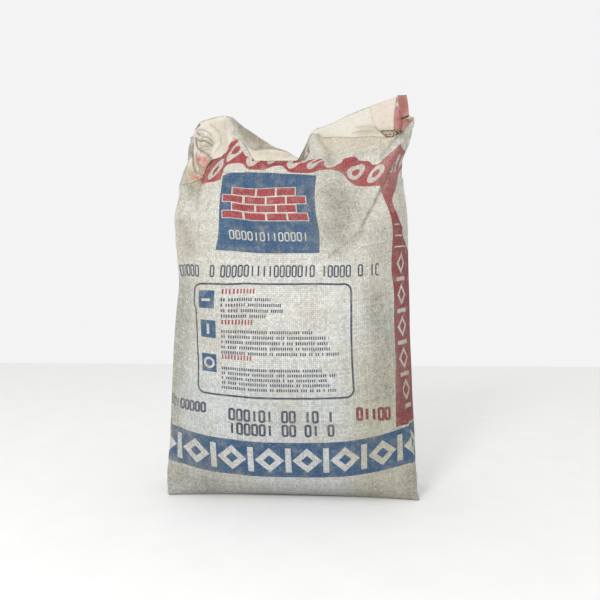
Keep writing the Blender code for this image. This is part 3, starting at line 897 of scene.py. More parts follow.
def stain(piece, facing):
    """Store how strong each stain and painted shade is on the points of a piece that face the camera."""
    points = np.array([v.co for v in piece.data.vertices])
    across, down = pixels_of(points)
    for name, lines in STAINS_AND_SHADE.items():
        value = np.zeros(len(points))
        for line in lines:
            distance = along_line(across, down, line["path"])[0]
            fading = line.get("strength", 1.0) * np.exp(-((distance / line["width"]) ** 2))
            value = np.maximum(value, fading)
        piece.data.attributes.new(name, "FLOAT", "POINT").data.foreach_set("value", value * facing)


stain(sack, np.clip(sack_normals @ to_camera * FACING_GAIN, 0, 1))
for piece in (top_patch, valve_patch, tucked_corner):
    stain(piece, 1.0)

# %% [markdown]
# ## Sums in a shader
#
# The print has to follow the flat tube, and no picture file is used, so it is
# drawn with sums on the UV map. Wiring Math nodes by hand is slow to read. A
# small class lets ordinary sums build the nodes, so that a bar of ink is one
# short line.

# %% A value that wires its own Math nodes
class Wire:
    """One value inside a shader, which builds nodes when sums are done with it."""

    def __init__(self, socket):
        self.socket = socket
        self.tree = socket.id_data

    def sum(self, operation, *others, clamp=False):
        node = self.tree.nodes.new("ShaderNodeMath")
        node.operation = operation
        node.use_clamp = clamp
        for slot, value in zip(node.inputs, (self, *others)):
            if isinstance(value, Wire):
                self.tree.links.new(value.socket, slot)
            else:
                slot.default_value = value
        return Wire(node.outputs[0])

    def __add__(self, other):
        return self.sum("ADD", other)

    def __sub__(self, other):
        return self.sum("SUBTRACT", other)

    def __mul__(self, other):
        return self.sum("MULTIPLY", other)

    def __truediv__(self, other):
        return self.sum("DIVIDE", other)

    def __neg__(self):
        return self.sum("MULTIPLY", -1.0)

    __radd__ = __add__
    __rmul__ = __mul__

    def __rsub__(self, other):
        return (-self) + other

    def size(self):
        return self.sum("ABSOLUTE")

    def floor(self):
        return self.sum("FLOOR")

    def part(self):
        return self.sum("FRACT")

    def least(self, other):
        return self.sum("MINIMUM", other)

    def most(self, other):
        return self.sum("MAXIMUM", other)

    def held(self):
        """Keep between 0 and 1."""
        return self.sum("MULTIPLY", 1.0, clamp=True)

    def over(self, level):
        """1 above a level and 0 below it, with a hard edge."""
        return self.sum("GREATER_THAN", level)

    def edge(self, blur=0.0007):
        """1 where the value is above zero, with an edge as soft as ink on tape."""
        return (self / blur + 0.5).held()


class Finish:
    """A material, with short ways to add the nodes that this lesson uses."""

    def __init__(self, name):
        self.material = bpy.data.materials.new(name)
        self.material.use_nodes = True
        self.tree = self.material.node_tree
        self.shader = self.tree.nodes["Principled BSDF"]

    def node(self, kind, **settings):
        node = self.tree.nodes.new(kind)
        for name, value in settings.items():
            setattr(node, name, value)
        return node

    def feed(self, socket, value):
        if isinstance(value, Wire):
            self.tree.links.new(value.socket, socket)
        else:
            socket.default_value = value

    def flat(self):
        """The place on the flat tube, as two values in metres."""
        parts = self.node("ShaderNodeSeparateXYZ")
        self.tree.links.new(self.node("ShaderNodeUVMap", uv_map="flat_tube").outputs[0], parts.inputs[0])
        return Wire(parts.outputs[0]), Wire(parts.outputs[1])

    def vector(self, x=0.0, y=0.0, z=0.0):
        node = self.node("ShaderNodeCombineXYZ")
        for socket, value in zip(node.inputs, (x, y, z)):
            self.feed(socket, value)
        return Wire(node.outputs[0])

    def place(self):
        return Wire(self.node("ShaderNodeTexCoord").outputs["Object"])

    def noise(self, where, scale, detail=3.0, rough=0.55):
        node = self.node("ShaderNodeTexNoise")
        self.feed(node.inputs["Vector"], where)
        for name, value in (("Scale", scale), ("Detail", detail), ("Roughness", rough)):
            node.inputs[name].default_value = value
        return Wire(node.outputs["Fac"])

    def chance(self, where):
        """A different fixed number for each whole place."""
        node = self.node("ShaderNodeTexWhiteNoise", noise_dimensions="3D")
        self.feed(node.inputs["Vector"], where)
        return Wire(node.outputs["Value"])

    def remap(self, value, low, high, to_low=0.0, to_high=1.0):
        node = self.node("ShaderNodeMapRange", interpolation_type="SMOOTHSTEP")
        self.feed(node.inputs["Value"], value)
        for name, number in (("From Min", low), ("From Max", high), ("To Min", to_low), ("To Max", to_high)):
            node.inputs[name].default_value = number
        return Wire(node.outputs["Result"])

    def curve(self, value, stops):
        """Read a curve through flat places, as (across, up) pairs in metres."""
        xs, ys = np.array(sorted(stops)).T
        x_low, x_span = xs[0], xs[-1] - xs[0]
        y_low, y_span = ys.min(), max(np.ptp(ys), 1e-6)
        node = self.node("ShaderNodeFloatCurve")
        line = node.mapping.curves[0]
        for _ in range(len(xs) - 2):
            line.points.new(0.5, 0.5)
        for point, x, y in zip(line.points, (xs - x_low) / x_span, (ys - y_low) / y_span):
            point.location = (x, y)
            point.handle_type = "AUTO_CLAMPED"
        node.mapping.update()
        self.feed(node.inputs["Value"], (value - float(x_low)) * float(1 / x_span))
        return Wire(node.outputs[0]) * float(y_span) + float(y_low)

    def mix(self, share, first, second):
        """Blend two colours by a value."""
        node = self.node("ShaderNodeMix", data_type="RGBA")
        self.feed(node.inputs["Factor"], share)
        for socket, colour in zip((node.inputs["A"], node.inputs["B"]), (first, second)):
            self.feed(socket, colour if isinstance(colour, Wire) else (*colour, 1.0))
        return Wire(node.outputs["Result"])

    def bump(self, height, distance, before=None):
        node = self.node("ShaderNodeBump")
        node.inputs["Strength"].default_value = 1.0
        node.inputs["Distance"].default_value = distance
        self.feed(node.inputs["Height"], height)
        if before is not None:
            self.feed(node.inputs["Normal"], before)
        return Wire(node.outputs[0])

    def attribute(self, name):
        return Wire(self.node("ShaderNodeAttribute", attribute_name=name).outputs["Fac"])

    def toned(self, colour, tone):
        """Make a colour brighter or darker by a value."""
        node = self.node("ShaderNodeVectorMath", operation="SCALE")
        self.feed(node.inputs[0], colour)
        self.feed(node.inputs["Scale"], tone)
        return Wire(node.outputs[0])

    def surface(self, colour, roughness, normal=None):
        """Join the colour, the roughness and the relief to the shader."""
        self.feed(self.shader.inputs["Base Color"], colour)
        self.feed(self.shader.inputs["Roughness"], roughness)
        if normal is not None:
            self.feed(self.shader.inputs["Normal"], normal)


# %% [markdown]
# ## Woven tape
#
# The cloth is flat plastic tape, about 3 mm wide, woven over and under. Every tape reflects a little
# differently, and that glint is painted into the colour as the fine speckle of these bags, with painted shade
# in the gaps between tapes.
# The pattern comes from the flat place alone: whole tapes are counted across and
# up, and a tape lies on top where the two counts add up to an odd number.

# %% Colours, and the weave
TAPE = 0.0031
LIGHT_LEVEL = 1.14
GAP_SHADE = 0.33
PAINTED_GLINT_GAIN = 1.6
MEAN_HEIGHT = 0.67


def paint(red, green, blue):
    """A colour as a picture shows it, 0 to 255, for a surface in the studio's light."""
    parts = np.array((red, green, blue)) / 255
    light = np.where(parts > 0.04045, ((parts + 0.055) / 1.055) ** 2.4, parts / 12.92)
    return tuple(float(c) for c in light / LIGHT_LEVEL)


def weave(finish, u, v, spread=0.19, gap=GAP_SHADE):
    """The height of the weave, and how bright each tape is next to the average, with a painted glint and
    painted shade in the gaps.
    """
    across, up = u / TAPE, v / TAPE
    column, row = across.floor(), up.floor()
    over = ((column + row) * 0.5).part().over(0.25)
    side, end = across.part() - 0.5, up.part() - 0.5
    warp = 1 - side * side * 4
    weft = 1 - end * end * 4
    height = weft + (warp - weft) * over
    warp_tone = finish.chance(finish.vector(column, 0.5, 0.5))
    weft_tone = finish.chance(finish.vector(0.5, row, 7.5))
    tone = weft_tone + (warp_tone - weft_tone) * over
    painted_glint = finish.chance(finish.vector(column, row, 3.5)) - 0.5
    # a painted glint on each tape, and painted shade in the gaps where the weave is low
    tape_tone_glint_and_shade = 1 + spread * (tone - 0.5) + spread * PAINTED_GLINT_GAIN * painted_glint + (height - MEAN_HEIGHT) * gap
    return height, tape_tone_glint_and_shade


# %% [markdown]
# ## The print
#
# The sack was printed while it was a flat tube, so its bands and lines are nearly
# straight there, and the folds bend and break them later. For that reason the
# print is laid out in metres on the flat tube. A picture file could hold it, but
# sums on the flat place stay sharp at any distance. Every mark is a plain one:
# bars, squares, lozenges, leaves, zeros and ones, and a wall of bricks, in three
# inks.

# %% Marks made of sums
INK_BLUR = 0.0007
ROW_FILL = 0.29
ROW_SHORTFALL = 0.055
ZERO_RADIUS = 0.0022
ONES_SHARE = 0.35
LEAF_HOLLOW = 0.44


def box(x, y, left, right, low, high):
    """Ink inside an oblong, whose sides may be numbers or curves."""
    return (x - left).least(right - x).least((y - low).least(high - y)).edge()


def round_frame(x, y, left, right, low, high, radius, line):
    """Ink on a line with round corners."""
    off_x = (x - (left + right) / 2).size() - ((right - left) / 2 - radius)
    off_y = (y - (low + high) / 2).size() - ((high - low) / 2 - radius)
    out_x, out_y = off_x.most(0.0), off_y.most(0.0)
    away = (out_x * out_x + out_y * out_y).sum("SQRT") + off_x.most(off_y).least(0.0) - radius
    return (line / 2 - away.size()).edge()


def bars(finish, x, y, left, right, low, high, pitch, fill, rows=1, gap=0.12):
    """Rows of small upright bars with odd gaps. Rows of a block end unevenly."""
    row_height = (high - low) / rows
    place, level = (x - left) / pitch, (y - low) / row_height
    bar = (fill / 2 - (place.part() - 0.5).size()).edge(INK_BLUR / pitch)
    kept = finish.chance(finish.vector(place.floor(), level.floor(), left * 100)).over(gap)
    if rows == 1:
        return bar * kept * box(x, y, left, right, low, high)
    row = (ROW_FILL - (level.part() - 0.5).size()).edge(INK_BLUR / row_height)
    right = right - finish.chance(finish.vector(0.5, level.floor(), high * 100)) * ROW_SHORTFALL
    return bar * row * kept * box(x, y, left, right, low, high)


def digits(finish, x, y, left, right, low, high, pitch, line, gap=0.0, grouped=False):
    """A row of zeros and ones: hollow oblongs and plain bars, with some places left out."""
    place = (x - left) / pitch
    local = (place.part() - 0.5) * pitch
    lot = finish.chance(finish.vector(place.floor(), low * 100))
    zero = round_frame(local, y, -0.31 * pitch, 0.31 * pitch, low, high, ZERO_RADIUS, line)
    one = box(local, y, -0.5 * line, 0.5 * line, low, high)
    ink = one + (zero - one) * lot.over(gap + ONES_SHARE)
    kept = lot.over(gap)
    if grouped:
        kept = ((place.floor() / 3).part() - 0.1).over(0.0).most((6.0 - place).over(0.0))
    return ink * kept * box(x, y, left, right, low - 0.01, high + 0.01)


def lozenges(x, y, middle, pitch, half_width, half_height, inner=0.42, half_bar=0.0045):
    """A chain of hollow lozenges with an upright bar between each two."""
    place = ((x / pitch).part() - 0.5).size() * pitch
    off = (y - middle).size()
    lozenge = place / half_width + off / half_height
    hollow = (1 - lozenge).edge(0.03) * (lozenge - inner).edge(0.03)
    upright = (half_bar - (pitch / 2 - place)).edge() * (half_height - off).edge()
    return hollow.most(upright)


def leaves(x, y, middle, pitch, half_width, half_height, lean):
    """A row of leaning hollow leaves."""
    off = y - middle
    place = ((x / pitch).part() - 0.5) * pitch - off * lean
    across, up = place / half_width, off / half_height
    leaf = (across * across + up * up).sum("SQRT")
    return (1 - leaf).edge(0.06) * (leaf - LEAF_HOLLOW).edge(0.06)


def together(*inks):
    """Several inked parts as one."""
    whole = inks[0]
    for ink in inks[1:]:
        whole = whole.most(ink)
    return whole


# %% The places of the bands, in metres on the flat tube
FACE_PERIOD = 0.5
PRINT_LEFT = -0.22

# the blue band above the base, which bends up at both ends
LOW_BAND = (0.0575, 0.1165)
LOW_BAND_BEND = 0.11
LOW_CHAIN = dict(pitch=0.058, half_width=0.0225, half_height=0.0205)

# the curved red band at the top
ARCH_SIDES = (-0.156, 0.262)
ARCH_LOW = ((-0.168, 0.506), (-0.153, 0.516), (-0.114, 0.532), (-0.1125, 0.551), (-0.081, 0.562),
            (-0.064, 0.551), (-0.047, 0.551), (-0.013, 0.555), (0.009, 0.543), (0.042, 0.541),
            (0.071, 0.546), (0.094, 0.542), (0.118, 0.522), (0.138, 0.509), (0.165, 0.503),
            (0.195, 0.497), (0.210, 0.508), (0.228, 0.524), (0.262, 0.549))
ARCH_TOP = ((-0.168, 0.560), (-0.143, 0.572), (-0.114, 0.576), (-0.1125, 0.592), (-0.104, 0.606),
            (-0.088, 0.598), (-0.068, 0.572), (-0.045, 0.570), (0.060, 0.570), (0.077, 0.549),
            (0.097, 0.553), (0.119, 0.561), (0.135, 0.552), (0.152, 0.547), (0.167, 0.538),
            (0.178, 0.5435), (0.188, 0.5490), (0.197, 0.5565), (0.206, 0.5635), (0.2085, 0.5645),
            (0.213, 0.5615), (0.228, 0.558), (0.262, 0.550))
LEAVES = dict(middle=0.021, pitch=0.037, half_width=0.0120, half_height=0.0155, lean=0.70)
LEAF_BARE = 0.88

# the red band down the right side
SIDE_BAND = (0.124, 0.520)
SIDE_BAND_LEFT = ((0.12, 0.168), (0.197, 0.172), (0.256, 0.181), (0.319, 0.182), (0.366, 0.177),
                  (0.400, 0.176), (0.440, 0.174), (0.490, 0.172), (0.520, 0.177))
SIDE_BAND_RIGHT = ((0.12, 0.235), (0.38, 0.235), (0.400, 0.228), (0.415, 0.212), (0.435, 0.198),
                   (0.455, 0.188), (0.467, 0.184), (0.480, 0.188), (0.491, 0.200), (0.520, 0.222))
SIDE_CHAIN = dict(middle=0.2025, pitch=0.050, half_width=0.0170, half_height=0.0130,
                  inner=0.58, half_bar=0.0032)
SIDE_CHAIN_LOW = 0.145
SIDE_BARE = 0.85
DASHES = (0.392, 0.445)
DASH_PITCH = 0.0176
DASH_START = 0.7
DASH_HALF = 0.0011
DASH_LEFT_MARGIN = 0.006
DASH_RIGHT_MARGIN = 0.005

# the blue panel
PANEL_LOW = 0.408
PANEL_TOP = ((-0.13, 0.533), (-0.117, 0.535), (-0.084, 0.546), (-0.050, 0.546), (0.003, 0.541),
             (0.030, 0.539), (0.060, 0.537))
PANEL_LEFT = ((0.38, -0.122), (0.404, -0.1205), (0.430, -0.1140), (0.465, -0.1090), (0.500, -0.1085),
              (0.540, -0.1115))
PANEL_RIGHT = ((0.38, 0.050), (0.408, 0.051), (0.440, 0.052), (0.480, 0.054), (0.540, 0.058))
PANEL_DIGITS = dict(left=-0.096, right=0.034, low=0.428, high=0.441, pitch=0.0100, line=0.0020)
WALL = (-0.108, 0.046, 0.461, 0.519)
WALL_START = -0.104
WALL_BRICKS = 3.6
BRICK_LENGTH = 0.036
BRICK_HEIGHT = 0.0145
BRICK_HALF = (0.455, 0.42)

# %% The places of the small print
BOX_FRAME = (-0.1390, 0.1030, 0.1855, 0.3602)
BOX_CORNER = 0.011
BOX_LINE = 0.0030
# how far the box and the row above it sag at the sides, and lean out on the left
SAG = ((-0.20, 0.0140), (-0.15, 0.0090), (-0.12, 0.0055), (-0.09, 0.0035), (-0.045, 0.0), (0.02, 0.0),
       (0.085, 0.0025), (0.145, 0.0080), (0.17, 0.0105), (0.28, 0.0105))
SAG_SHARE = ((0.0, 0.0), (0.19, 0.0), (0.36, 1.0), (0.7, 1.0))
DRAWN_LEFT = ((-0.22, 0.0280), (-0.17, 0.0235), (-0.15, 0.0190), (-0.12, 0.0115), (-0.095, 0.0050),
              (-0.06, 0.0), (0.28, 0.0))
DRAWN_SHARE = ((0.0, 0.0), (0.195, 0.0), (0.22, 0.02), (0.25, 0.17), (0.28, 0.37), (0.31, 0.70), (0.34, 1.0),
               (0.7, 1.0))
SQUARE_SIDES = (-0.1315, -0.1075)
SQUARE_LOWS = (0.3215, 0.2740, 0.2195)
SQUARE_HEIGHT = 0.0285
SQUARE_MARKS = ((-0.1262, -0.1128, 0.3330, 0.3370), (-0.1215, -0.1175, 0.2800, 0.2965))
RING_MIDDLE = (-0.1195, 0.2338)
RING_RADIUS = 0.0072
RING_HALF_LINE = 0.0018
HEADING = dict(left=-0.100, right=-0.053, pitch=0.0048, fill=0.5)
HEADING_LOWS = (0.345, 0.297, 0.242)
HEADING_HEIGHT = 0.0075
BLOCK = dict(left=-0.100, pitch=0.0034, fill=0.60)
# each block: right, low, high and rows
BLOCKS = ((0.012, 0.3058, 0.3402, 4), (0.094, 0.2484, 0.2899, 5), (0.080, 0.1938, 0.2313, 5))
TITLE_ROW = dict(left=-0.200, right=0.150, low=0.3718, high=0.3885, pitch=0.0098, line=0.0026, gap=0.13)
BIG_ROW = dict(left=-0.090, right=0.0724, pitch=0.0116, line=0.0036, grouped=True)
BIG_ROW_LEVELS = ((0.1490, 0.1650), (0.1275, 0.1435))
LEFT_ROW = dict(left=-0.215, right=-0.1235, low=0.161, high=0.1745, pitch=0.0100, line=0.0036, gap=0.05)
LEFT_ROW_DROP = 0.007
LEFT_ROW_FROM = -0.145
LEFT_ROW_SLOPE = -0.09
RED_ROW = dict(left=0.105, right=0.160, low=0.150, high=0.167, pitch=0.0110, line=0.0046)
RED_ROW_SLOPE = 0.18


# %% Draw the bands and the panel
def low_band(u, v):
    """The blue band above the base, with a chain of lozenges left bare."""
    half = FACE_PERIOD / 2
    x = ((u + half) / FACE_PERIOD).part() * FACE_PERIOD - half
    level = v - x * x * LOW_BAND_BEND
    band = (level - LOW_BAND[0]).least(LOW_BAND[1] - level).edge()
    return band * (1 - lozenges(x, level, sum(LOW_BAND) / 2, **LOW_CHAIN))


def arch(finish, x, v):
    """The curved red band, with a row of hollow leaves left bare."""
    low, top = finish.curve(x, ARCH_LOW), finish.curve(x, ARCH_TOP)
    band = (v - low).least(top - v).least(x - ARCH_SIDES[0]).least(ARCH_SIDES[1] - x).edge()
    return band * (1 - LEAF_BARE * leaves(x, v - low, **LEAVES))


def side_band(finish, x, v):
    """The red side band, with a chain of lozenges left bare and dashes above them."""
    left, right = finish.curve(v, SIDE_BAND_LEFT), finish.curve(v, SIDE_BAND_RIGHT)
    chain = lozenges(v, x, **SIDE_CHAIN) * (v - SIDE_CHAIN_LOW).least(DASHES[0] - v).edge()
    dash = (DASH_HALF - ((v / DASH_PITCH + DASH_START).part() - 0.5).size() * DASH_PITCH).edge()
    dash = dash * box(x, v, left + DASH_LEFT_MARGIN, right - DASH_RIGHT_MARGIN, *DASHES)
    return box(x, v, left, right, *SIDE_BAND) * (1 - SIDE_BARE * chain.most(dash))


def brick_wall(x, v):
    """The toothed oblong of a wall, and the bricks in it."""
    up = (v - WALL[2]) / BRICK_HEIGHT
    course = up.floor()
    place = (x - WALL_START) / BRICK_LENGTH + course * 0.5
    whole = (place.floor() - course * 0.5).over(-0.1) * (WALL_BRICKS + course * 0.5 - place.floor()).over(0.5)
    wall = box(x, v, *WALL) * whole
    along_brick = (BRICK_HALF[0] - (place.part() - 0.5).size()).edge(0.02)
    up_brick = (BRICK_HALF[1] - (up.part() - 0.5).size()).edge(0.05)
    return wall, wall * along_brick * up_brick


def panel(finish, x, v):
    """The blue panel, with the wall's place and a row of digits left bare."""
    left, right, top = finish.curve(v, PANEL_LEFT), finish.curve(v, PANEL_RIGHT), finish.curve(x, PANEL_TOP)
    return box(x, v, left, right, PANEL_LOW, top) * (1 - digits(finish, x, v, **PANEL_DIGITS))


# %% Draw the small print, and put the three inks together
def framed_box(finish, x, v):
    """The framed box: its blue squares, its dark frame and bars, and its red headings."""
    squares = together(*[box(x, v, *SQUARE_SIDES, low, low + SQUARE_HEIGHT) for low in SQUARE_LOWS])
    for mark in SQUARE_MARKS:
        squares = squares * (1 - box(x, v, *mark))
    off_x, off_v = x - RING_MIDDLE[0], v - RING_MIDDLE[1]
    ring = (off_x * off_x + off_v * off_v).sum("SQRT")
    squares = squares * (1 - (RING_HALF_LINE - (ring - RING_RADIUS).size()).edge())
    dark = round_frame(x, v, *BOX_FRAME, BOX_CORNER, BOX_LINE)
    for right, low, high, rows in BLOCKS:
        dark = dark.most(bars(finish, x, v, right=right, low=low, high=high, rows=rows, **BLOCK))
    headings = [bars(finish, x, v, low=low, high=low + HEADING_HEIGHT, **HEADING) for low in HEADING_LOWS]
    return squares, dark, together(*headings)


def print_masks(finish, u, v):
    """The blue, dark blue and red inks at a flat place."""
    x = ((u - PRINT_LEFT) / FACE_PERIOD).part() * FACE_PERIOD + PRINT_LEFT
    box_x = x + finish.curve(x, DRAWN_LEFT) * finish.curve(v, DRAWN_SHARE)
    box_v = v + finish.curve(x, SAG) * finish.curve(v, SAG_SHARE)
    wall, bricks = brick_wall(x, v)
    squares, box_dark, headings = framed_box(finish, box_x, box_v)
    title = digits(finish, x, box_v, **TITLE_ROW)
    big_rows = [digits(finish, x, v, low=low, high=high, **BIG_ROW) for low, high in BIG_ROW_LEVELS]
    left_v = v + LEFT_ROW_DROP + (x - LEFT_ROW_FROM) * LEFT_ROW_SLOPE
    left_row = digits(finish, x, left_v, **LEFT_ROW)
    red_row = digits(finish, x, v + (x - RED_ROW["left"]) * RED_ROW_SLOPE, **RED_ROW)
    blue = together(panel(finish, x, v) * (1 - wall), low_band(u, v), squares)
    dark = together(box_dark, title, *big_rows, left_row)
    red = together(arch(finish, x, v), side_band(finish, x, v), bricks, headings, red_row)
    return blue, dark, red


# %% [markdown]
# ## Ink, wear, cement dust and painted shade
#
# The ink is thin and sits on the raised tapes, so the grid of the cloth shows through it and rubbed places go
# pale. Over everything lies cement dust in broad beige clouds, heavier by the cover patch. The valleys are
# painted darker by their depth, as painted shade and dust, and the cloth is painted darker towards the bottom
# edge. A photo of dust would repeat or stretch, so noise of several sizes on the flat place makes it here.

# %% Stains, painted shade and hard creases, for every cloth finish
CREASES_PER_METRE = 42.0
CREASE_COLOUR = (146, 134, 102)
# Each stain or painted shade: its mark, the noise that breaks it up, the noise's range, the shares hidden,
# its colour
STAIN_AND_SHADE_LOOKS = (
    ("pinched", "blotch", (0.25, 0.55), (0.45, 0.95), (98, 86, 46)),
    # the dust mark is dust by the valve patch, and painted shade behind the roll and under the left corner
    ("dust", "blotch", (0.25, 0.60), (0.45, 0.85), (176, 164, 136)),
    ("pale_dust", "blotch", (0.30, 0.60), (0.45, 0.85), (208, 196, 174)),
    # grime and painted shade share these two looks
    ("grime", "blotch", (0.30, 0.60), (0.35, 0.70), (152, 149, 134)),
    ("grime", "grit", (0.57, 0.65), (0.00, 0.80), (104, 98, 80)),
    ("tucked", "blotch", (0.30, 0.60), (0.70, 1.00), (158, 92, 84)),
    ("rubbed_red", "blotch", (0.30, 0.60), (0.35, 0.80), (198, 112, 100)),
    ("spill", "grit", (0.30, 0.60), (0.55, 1.50), (104, 84, 60)),
)


def soil_and_shade(finish, base, place):
    """Lay the marked stains and the painted shade over a colour, and find the hard little creases."""
    noises = {"grit": finish.noise(place, 330.0, 3.0, 0.7), "blotch": finish.noise(place, 90.0, 4.0, 0.6)}
    ridge = (finish.noise(place, CREASES_PER_METRE, 2.0, 0.45) - 0.5).size()
    creases = finish.remap(ridge, 0.0, 0.022, 1.0, 0.0) * finish.attribute("crushed")
    base = finish.mix(creases * 0.45, base, paint(*CREASE_COLOUR))
    for mark, noise_name, noise_range, shares, colour in STAIN_AND_SHADE_LOOKS:
        hidden = finish.attribute(mark) * finish.remap(noises[noise_name], *noise_range, *shares)
        base = finish.mix(hidden, base, paint(*colour))
    return base, creases.most(finish.attribute("pinched"))


# %% The bare cloth: cooler low down, with a painted highlight on the belly, yellowed low on the right
cloth = Finish("woven_tape")
u, v = cloth.flat()
height, tape_tone_glint_and_shade = weave(cloth, u, v)
flat_place = cloth.vector(u, v, 0.0)
clouds = cloth.noise(flat_place, 9.0, 5.0, 0.6)
mottle = cloth.noise(flat_place, 55.0, 4.0, 0.62)
grain = cloth.noise(flat_place, 420.0, 2.0, 0.6)
# a painted highlight: the middle of the belly is lightened
lit_belly = cloth.remap(u.size(), 0.13, 0.03) * cloth.remap(v, 0.18, 0.28) * cloth.remap(v, 0.46, 0.38)
yellowed = cloth.remap(u, 0.06, 0.13) * cloth.remap(u, 0.26, 0.21) * cloth.remap(v, 0.30, 0.20)
bare = cloth.mix(cloth.remap(v, 0.15, 0.48), paint(200, 203, 203), paint(206, 204, 193))
bare = cloth.mix(lit_belly, bare, paint(214, 213, 208))
bare = cloth.mix(yellowed, bare, paint(183, 181, 165))
bare = cloth.mix(cloth.remap(clouds, 0.42, 0.70) * 0.62, bare, paint(190, 184, 168))
bare = cloth.mix(cloth.remap(mottle, 0.52, 0.80) * 0.45, bare, paint(160, 153, 136))
print("bare cloth has", len(cloth.tree.nodes), "nodes")

# %% The inks: rubbed thin on the raised tapes, and duskier on the side and low down
blue, dark, red = print_masks(cloth, u, v)
worn = cloth.remap(mottle, 0.40, 0.85, 1.0, 0.75) * cloth.remap(grain, 0.22, 0.50, 0.72, 1.0)
faded = cloth.remap(u, 0.135, 0.185, 0.0, 0.16) * cloth.remap(v, 0.44, 0.53)
dusky = cloth.remap(u, 0.160, 0.190) * cloth.remap(v, 0.53, 0.49)
red_ink = cloth.mix(dusky, paint(156, 40, 52), paint(130, 40, 48))
red_ink = cloth.mix(cloth.remap(v, 0.22, 0.165), red_ink, paint(118, 12, 34))
inked = cloth.mix(red * worn * (1 - faded), bare, red_ink)
inked = cloth.mix(blue * worn, inked, paint(16, 75, 116))
inked = cloth.mix(dark * worn, inked, paint(30, 50, 78))
print("inked cloth has", len(cloth.tree.nodes), "nodes")

# %% The dust over all, darker low down, painted shade and dust in the valleys, and the relief
dusty = cloth.remap(mottle, 0.45, 0.80, 0.03, 0.20)
# the cloth is painted darker towards the bottom edge
low_down = cloth.remap(v, 0.0, 0.085, 0.36, 0.0)
dusted_and_shaded = cloth.mix(dusty, inked, paint(188, 176, 152))
dusted_and_shaded = cloth.mix(low_down, dusted_and_shaded, paint(148, 144, 134))
# painted shade and dust in the valleys, darker where they are deeper
dusted_and_shaded = cloth.mix(cloth.attribute("crease") * 0.5, dusted_and_shaded, paint(122, 112, 92))
dusted_and_shaded, creases = soil_and_shade(cloth, dusted_and_shaded, cloth.place())
relief = cloth.bump(height, 0.00025, cloth.bump(mottle - creases * 0.8, 0.0012))
cloth.surface(cloth.toned(dusted_and_shaded, tape_tone_glint_and_shade), cloth.remap(mottle, 0.3, 0.7, 0.58, 0.80), relief)
sack.data.materials.append(cloth.material)
print("finished cloth has", len(cloth.tree.nodes), "nodes")

# %% [markdown]
# ## The coated patches
#
# The patches are the same kind of cloth with a skin of plastic melted over it. The
# weave hardly shows, and the skin is smoother and creamier than the sack. Dust has
# stained it, and a little pink ink has rubbed off on it.

# %% Finish the patches
COATED_SPREAD = 0.05
COATED_GAP_SHADE = 0.16


def coated(name, clean, stain_colour, tint, tint_share):
    """A smooth coated weave with stains, painted shade and dust in its valleys, and a painted glint on its
    tapes.
    """
    finish = Finish(name)
    u, v = finish.flat()
    height, tape_tone_glint_and_shade = weave(finish, u, v, COATED_SPREAD, COATED_GAP_SHADE)
    place = finish.place()
    clouds = finish.noise(place, 26.0, 4.0, 0.6)
    spots = finish.noise(place, 120.0, 3.0, 0.6)
    base = finish.mix(finish.remap(clouds, 0.42, 0.75) * 0.6, clean, stain_colour)
    base = finish.mix(finish.remap(clouds, 0.58, 0.30) * tint_share, base, tint)
    base = finish.mix(finish.remap(spots, 0.60, 0.80) * 0.5, base, paint(140, 122, 98))
    # painted shade and dust in the valleys
    base = finish.mix(finish.attribute("crease") * 0.5, base, paint(140, 124, 94))
    base, creases = soil_and_shade(finish, base, place)
    relief = finish.bump(height, 0.00016, finish.bump(clouds - creases * 0.5, 0.0020))
    finish.surface(finish.toned(base, tape_tone_glint_and_shade), finish.remap(spots, 0.3, 0.7, 0.42, 0.62), relief)
    return finish.material


cream = coated("coated_cream", paint(226, 221, 209), paint(206, 194, 170), paint(226, 208, 196), 0.35)
top_patch.data.materials.append(cream)
valve_cream = coated("valve_cream", paint(225, 213, 200), paint(214, 198, 178), paint(230, 206, 194), 0.5)
valve_patch.data.materials.append(valve_cream)
red_cream = coated("printed_fold", paint(188, 118, 110), paint(206, 180, 164), paint(160, 78, 76), 0.8)
tucked_corner.data.materials.append(red_cream)
print("coated finishes:", cream.name, valve_cream.name, red_cream.name)

# %% [markdown]
# ## Crumbs at the valve's mouth
#
# A little of the cement stayed in the mouth of the valve and set into crumbs. They
# are all one shape at many places. Placing each by hand would be slow and look
# even, so Geometry Nodes scatters them: points on a small patch under the valve, a
# lump on each, turned and sized by chance with a fixed seed. The result is kept as
# a plain mesh.

# %% The crumbs' finish
def dry_cement():
    """Grey-brown set cement, rough and grainy."""
    finish = Finish("cement_crumb")
    grain = finish.noise(finish.place(), 900.0, 3.0, 0.6)
    colour = finish.mix(finish.remap(grain, 0.35, 0.60), paint(150, 128, 98), paint(232, 218, 192))
    finish.surface(colour, finish.remap(grain, 0.3, 0.7, 0.85, 0.97), finish.bump(grain, 0.0004))
    return finish.material


# %% A scatter of lumps
CRUMB_SEED = 3
CRUMB_RADIUS = 0.0011
CRUMB_DENSITY = 420000
LUMP_ROUNDNESS = 2
LUMP_FACES = 80
LUMP_TURN = (6.28, 6.28, 6.28)
LUMP_LEAST = (0.35, 0.30, 0.30)
LUMP_MOST = (1.0, 0.9, 0.8)


def group_input(tree, name, kind, value=None):
    """Add a named input to a node tree, with its usual value."""
    socket = tree.interface.new_socket(name, in_out="INPUT", socket_type=kind)
    if value is not None:
        socket.default_value = value
    return socket.identifier


def chance_size(tree, least, most):
    """A node that gives three chance numbers between two limits."""
    node = tree.nodes.new("FunctionNodeRandomValue")
    node.data_type = "FLOAT_VECTOR"
    node.inputs["Min"].default_value = least
    node.inputs["Max"].default_value = most
    return node


